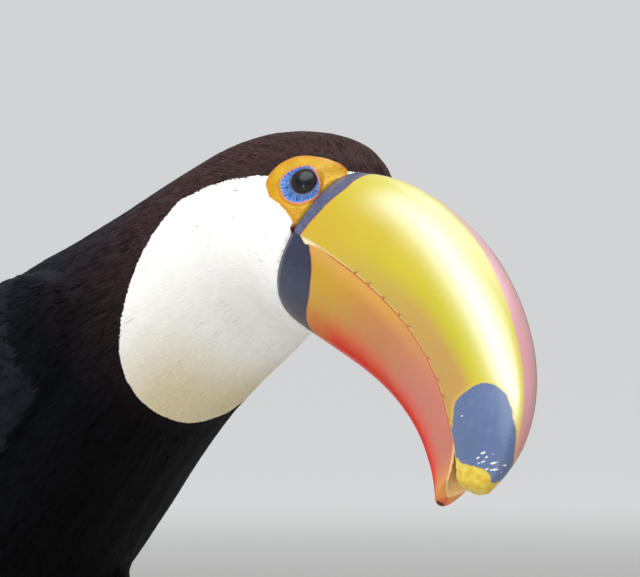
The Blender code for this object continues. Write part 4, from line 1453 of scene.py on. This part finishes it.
def make_wing(name, sign, material, rng):
    """Coverts in overlapping rows, and the long inner and outer flight feathers towards the tip."""
    vanes = Vanes()
    for rank in WING_RANKS:
        first, last, rows, high, low, width = rank[:6]
        spread = 0.62 if rank in COVERTS else 0.9
        for row in range(rows):
            t_root = first + (last - first) * row / max(rows - 1, 1)
            ends = wing_surface(np.array([t_root, t_root]), np.array([high, low]), np.zeros(2), sign)
            girth = np.linalg.norm(ends[1] - ends[0]) * 1.12
            count = max(int(girth / (width * spread) + 0.5), 2)
            for k in range(count):
                v_root = high + (low - high) * (k + 0.5 * (row % 2) + 0.25) / count
                if v_root <= low:
                    add_wing_vane(vanes, rank, t_root, v_root, sign, rng)
    vanes.make(name, material)


def add_wing_vane(vanes, rank, t_root, v_root, sign, rng):
    width, reach, sunk, raised = rank[5:]
    covert = rank in COVERTS
    rows = 9 if covert else 13
    run = np.linspace(0, 1, rows)
    nothing = np.zeros(rows)
    reach = reach * rng.uniform(0.93, 1.07)
    ends = wing_surface(np.array([t_root, t_root + 0.2]), np.full(2, v_root), np.zeros(2), sign)
    pace = np.linalg.norm(ends[1] - ends[0]) / 0.2
    t = t_root + run * min(reach / pace, (WING_TO - 0.02 - t_root) * rng.uniform(0.88, 1.0))
    v = v_root + (rng.normal(0, 0.012) + (0.0 if covert else 0.02)) * run
    half = width / 2 * vane_outline(run, 0.34 if covert else 0.22) * rng.uniform(0.93, 1.07)
    step = 0.01
    above, below = (wing_surface(t, v + move, nothing, sign) for move in (-step, step))
    wide = length(below - above) / (2 * step)
    tt = np.repeat(t[:, None], len(VANE_ACROSS), 1)
    vv = np.clip(v[:, None] + VANE_ACROSS * (half / np.maximum(wide, 5.0))[:, None], 0.0, 1.0)
    height = mix(sunk, raised, smooth(run * 1.1)) + 0.2 * np.sin(v_root * 40 + t_root * 9)
    camber = -0.35 * VANE_ACROSS**2 * (half / 6)[:, None]
    lift = height[:, None] + camber + rng.uniform(-0.12, 0.12) - 1.0 * ramp(vv, 0.78, 0.98)
    grid = wing_surface(tt, vv, lift, sign)
    out = unit(wing_surface(tt, vv, lift + 1.0, sign) - grid)
    vanes.add(grid, out, 0.28, unwrap(t_root, sign * (40 + 60 * v_root)), rng.random(), t_root)


# Each pair's share of the tail's length, from the middle pair out, and half a feather's width.
TAIL_SHARES = (1.0, 0.995, 0.985, 0.965, 0.93)
TAIL_HALF = 13.5
TAIL_FROM = 12.0
# The tail's last tenth keeps the width it has there, and thins evenly above and below.
TAIL_THIN = 0.9
THIN_HALF = 32.2
THIN_ABOVE = (1.8, 1.2)
THIN_BELOW = (2.2, 1.5)
# The feathers' middles lie no further than this from the tail's, less an inset.
TAIL_STACK = 7.0
TAIL_INSET = 0.9


def make_tail(material, rng):
    """Ten blunt feathers, the middle pair on top."""
    middle, _, side, _, _ = body_frame(np.array(TRUNK_END))
    top = unit(np.cross(TAIL_BACK, side))
    top = top if top[2] > 0 else -top
    pairs = len(TAIL_SHARES)
    run = np.linspace(0, 1, 25)
    vanes = Vanes()
    for pair in range(pairs - 1, -1, -1):
        u = (TAIL_FROM + (TAIL_LENGTH * TAIL_SHARES[pair] - TAIL_FROM) * run) / TAIL_LENGTH
        room, rise, fall = (through(TAIL_OVALS, np.clip(u, 0.06, 1), k) for k in (1, 2, 3))
        thin = (u - TAIL_THIN) / (1 - TAIL_THIN)
        room = np.where(thin > 0, THIN_HALF, room)
        rise = np.where(thin > 0, mix(*THIN_ABOVE, thin), rise)
        fall = np.where(thin > 0, mix(*THIN_BELOW, thin), fall)
        inner_top = np.minimum(rise, TAIL_STACK) - TAIL_INSET
        inner_low = TAIL_INSET - np.minimum(fall, TAIL_STACK)
        for sign in (1, -1):
            aside = (room - TAIL_HALF) * (pair + 0.35) / (pairs - 0.65) * sign
            level = mix(inner_top, inner_low, (pair + (0.18 if sign > 0 else 0.0)) / (pairs - 0.4))
            x = aside[:, None] + VANE_ACROSS * (TAIL_HALF * vane_outline(run, 0.13, 0.35))[:, None]
            camber = -1.2 * (x / room[:, None]) ** 2 * ramp(u, 1.05, 0.4)[:, None]
            grid = (middle + TAIL_BACK * (u * TAIL_LENGTH)[:, None])[:, None] + side * x[..., None]
            grid = grid + top * (level[:, None] + camber)[..., None]
            root_uv = unwrap(13.2, sign * (20 + 30.0 * pair))
            vanes.add(grid, np.broadcast_to(top, grid.shape), 0.55, root_uv, rng.random(), 13.5)
    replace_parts(vanes.make("tail_feathers", material), "tail")


def vane_material():
    p = Paint("flight_feathers", Roughness=0.6, Sheen_Weight=0.01, Specular_IOR_Level=0.07)
    run, across, tone = p.numbers("run", "across", "tone")
    slant = p.plus(p.times(run, 60.0), p.times(p.math("ABSOLUTE", across), -9.0))
    barbs = p.noise(1.0, 3, 0.6, p.combine(slant, p.times(tone, 50.0)))
    p.start(crown_colour(p, p.line(barbs, 0.5, p.times(tone, 0.5))))
    return p.join(p.plus(p.math("SINE", p.times(slant, 6.0)), barbs), 0.25, 0.0002)


def make_flight_feathers():
    rng = np.random.default_rng(23)
    material = vane_material()
    for name, sign in SIDES:
        make_wing(name + "_wing_feathers", sign, material, rng)
    make_tail(material, rng)


# ---- light, floor and camera

PHOTO_SCALE = 2.670  # of 640 steps across the picture, how many show one millimetre at the head
PICTURE_WIDTH = 0.640
SENSOR = 36.0
CAMERA_TURN = math.radians(50.0)
CAMERA_RANGE = 2.0
AIM_SHIFT = (-7.453, -10.637)  # right of the head and above it
TOWARD = np.array((math.sin(CAMERA_TURN), -math.cos(CAMERA_TURN), 0.0))
RIGHT = np.array((math.cos(CAMERA_TURN), math.sin(CAMERA_TURN), 0.0))
UP = np.array((0.0, 0.0, 1.0))
STUDIO = rgb(226, 228, 230)
# Name, place, size, power, colour.
LIGHTS = (
    ("key", TOWARD * 0.55 - RIGHT * 0.15 + UP * 1.6, 2.0, 34, (1.0, 0.985, 0.96)),
    ("fill", TOWARD * 1.75 - RIGHT * 0.7 + UP * 0.18, 0.2, 5.5, (1, 1, 1)),
    ("rim", RIGHT * 0.5 - TOWARD * 1.2 + UP * 1.3, 1.0, 6, (1, 1, 1)),
)


def make_floor():
    """A pale floor that glows more and more far from the bird, so that it brightens into the background."""
    p = Paint("floor_paint", Roughness=0.8, Specular_IOR_Level=0.2, Emission_Color=STUDIO)
    p.start(p.mix(p.noise(40, 3), rgb(193, 192, 189), rgb(197, 196, 193)))
    reach = p.node("VectorMath", {0: p.place}, "Value", operation="LENGTH")
    shape = bmesh.new()
    bmesh.ops.create_circle(shape, cap_ends=True, radius=14.0, segments=96)
    floor = add_object("floor", new_mesh("floor", shape))
    floor.data.materials.append(p.join(Emission_Strength=p.step(reach, 0.9, 3.2, 0.0, 0.615)))


def make_world():
    """Soft light from all round, dimmer from above than from the horizon."""
    p = Paint("studio", "worlds", "Background", "Generated", Color=STUDIO)
    height = p.node("SeparateXYZ", {0: p.place}, "Z")
    bpy.context.scene.world = p.join(Strength=p.step(height, 0.05, 0.35, 0.84, 0.36))


def make_light_and_camera():
    make_world()
    for name, place, size, power, colour in LIGHTS:
        lamp = bpy.data.lights.new(name, "AREA")
        lamp.shape, lamp.size, lamp.energy, lamp.color = "DISK", size, power, colour
        made = add_object(name, lamp)
        made.location = place
        made.rotation_euler = (Vector(HEAD_AT * MM) - made.location).to_track_quat("-Z", "Y").to_euler()
    lens = bpy.data.cameras.new("camera")
    lens.sensor_width = SENSOR
    lens.lens = SENSOR * CAMERA_RANGE * PHOTO_SCALE / PICTURE_WIDTH
    camera = add_object("camera", lens)
    camera.location = (HEAD_AT + RIGHT * AIM_SHIFT[0] + UP * AIM_SHIFT[1]) * MM + TOWARD * CAMERA_RANGE
    camera.rotation_euler = Vector(-TOWARD).to_track_quat("-Z", "Y").to_euler()
    bpy.context.scene.camera = camera
    bpy.context.scene.view_settings.view_transform = "Standard"


make_floor()
make_light_and_camera()
make_bill()
ground = make_skin(skin_material())
make_eyes(eye_material())
make_claws(claw_material())
make_plumage(ground, plumage_material())
make_flight_feathers()
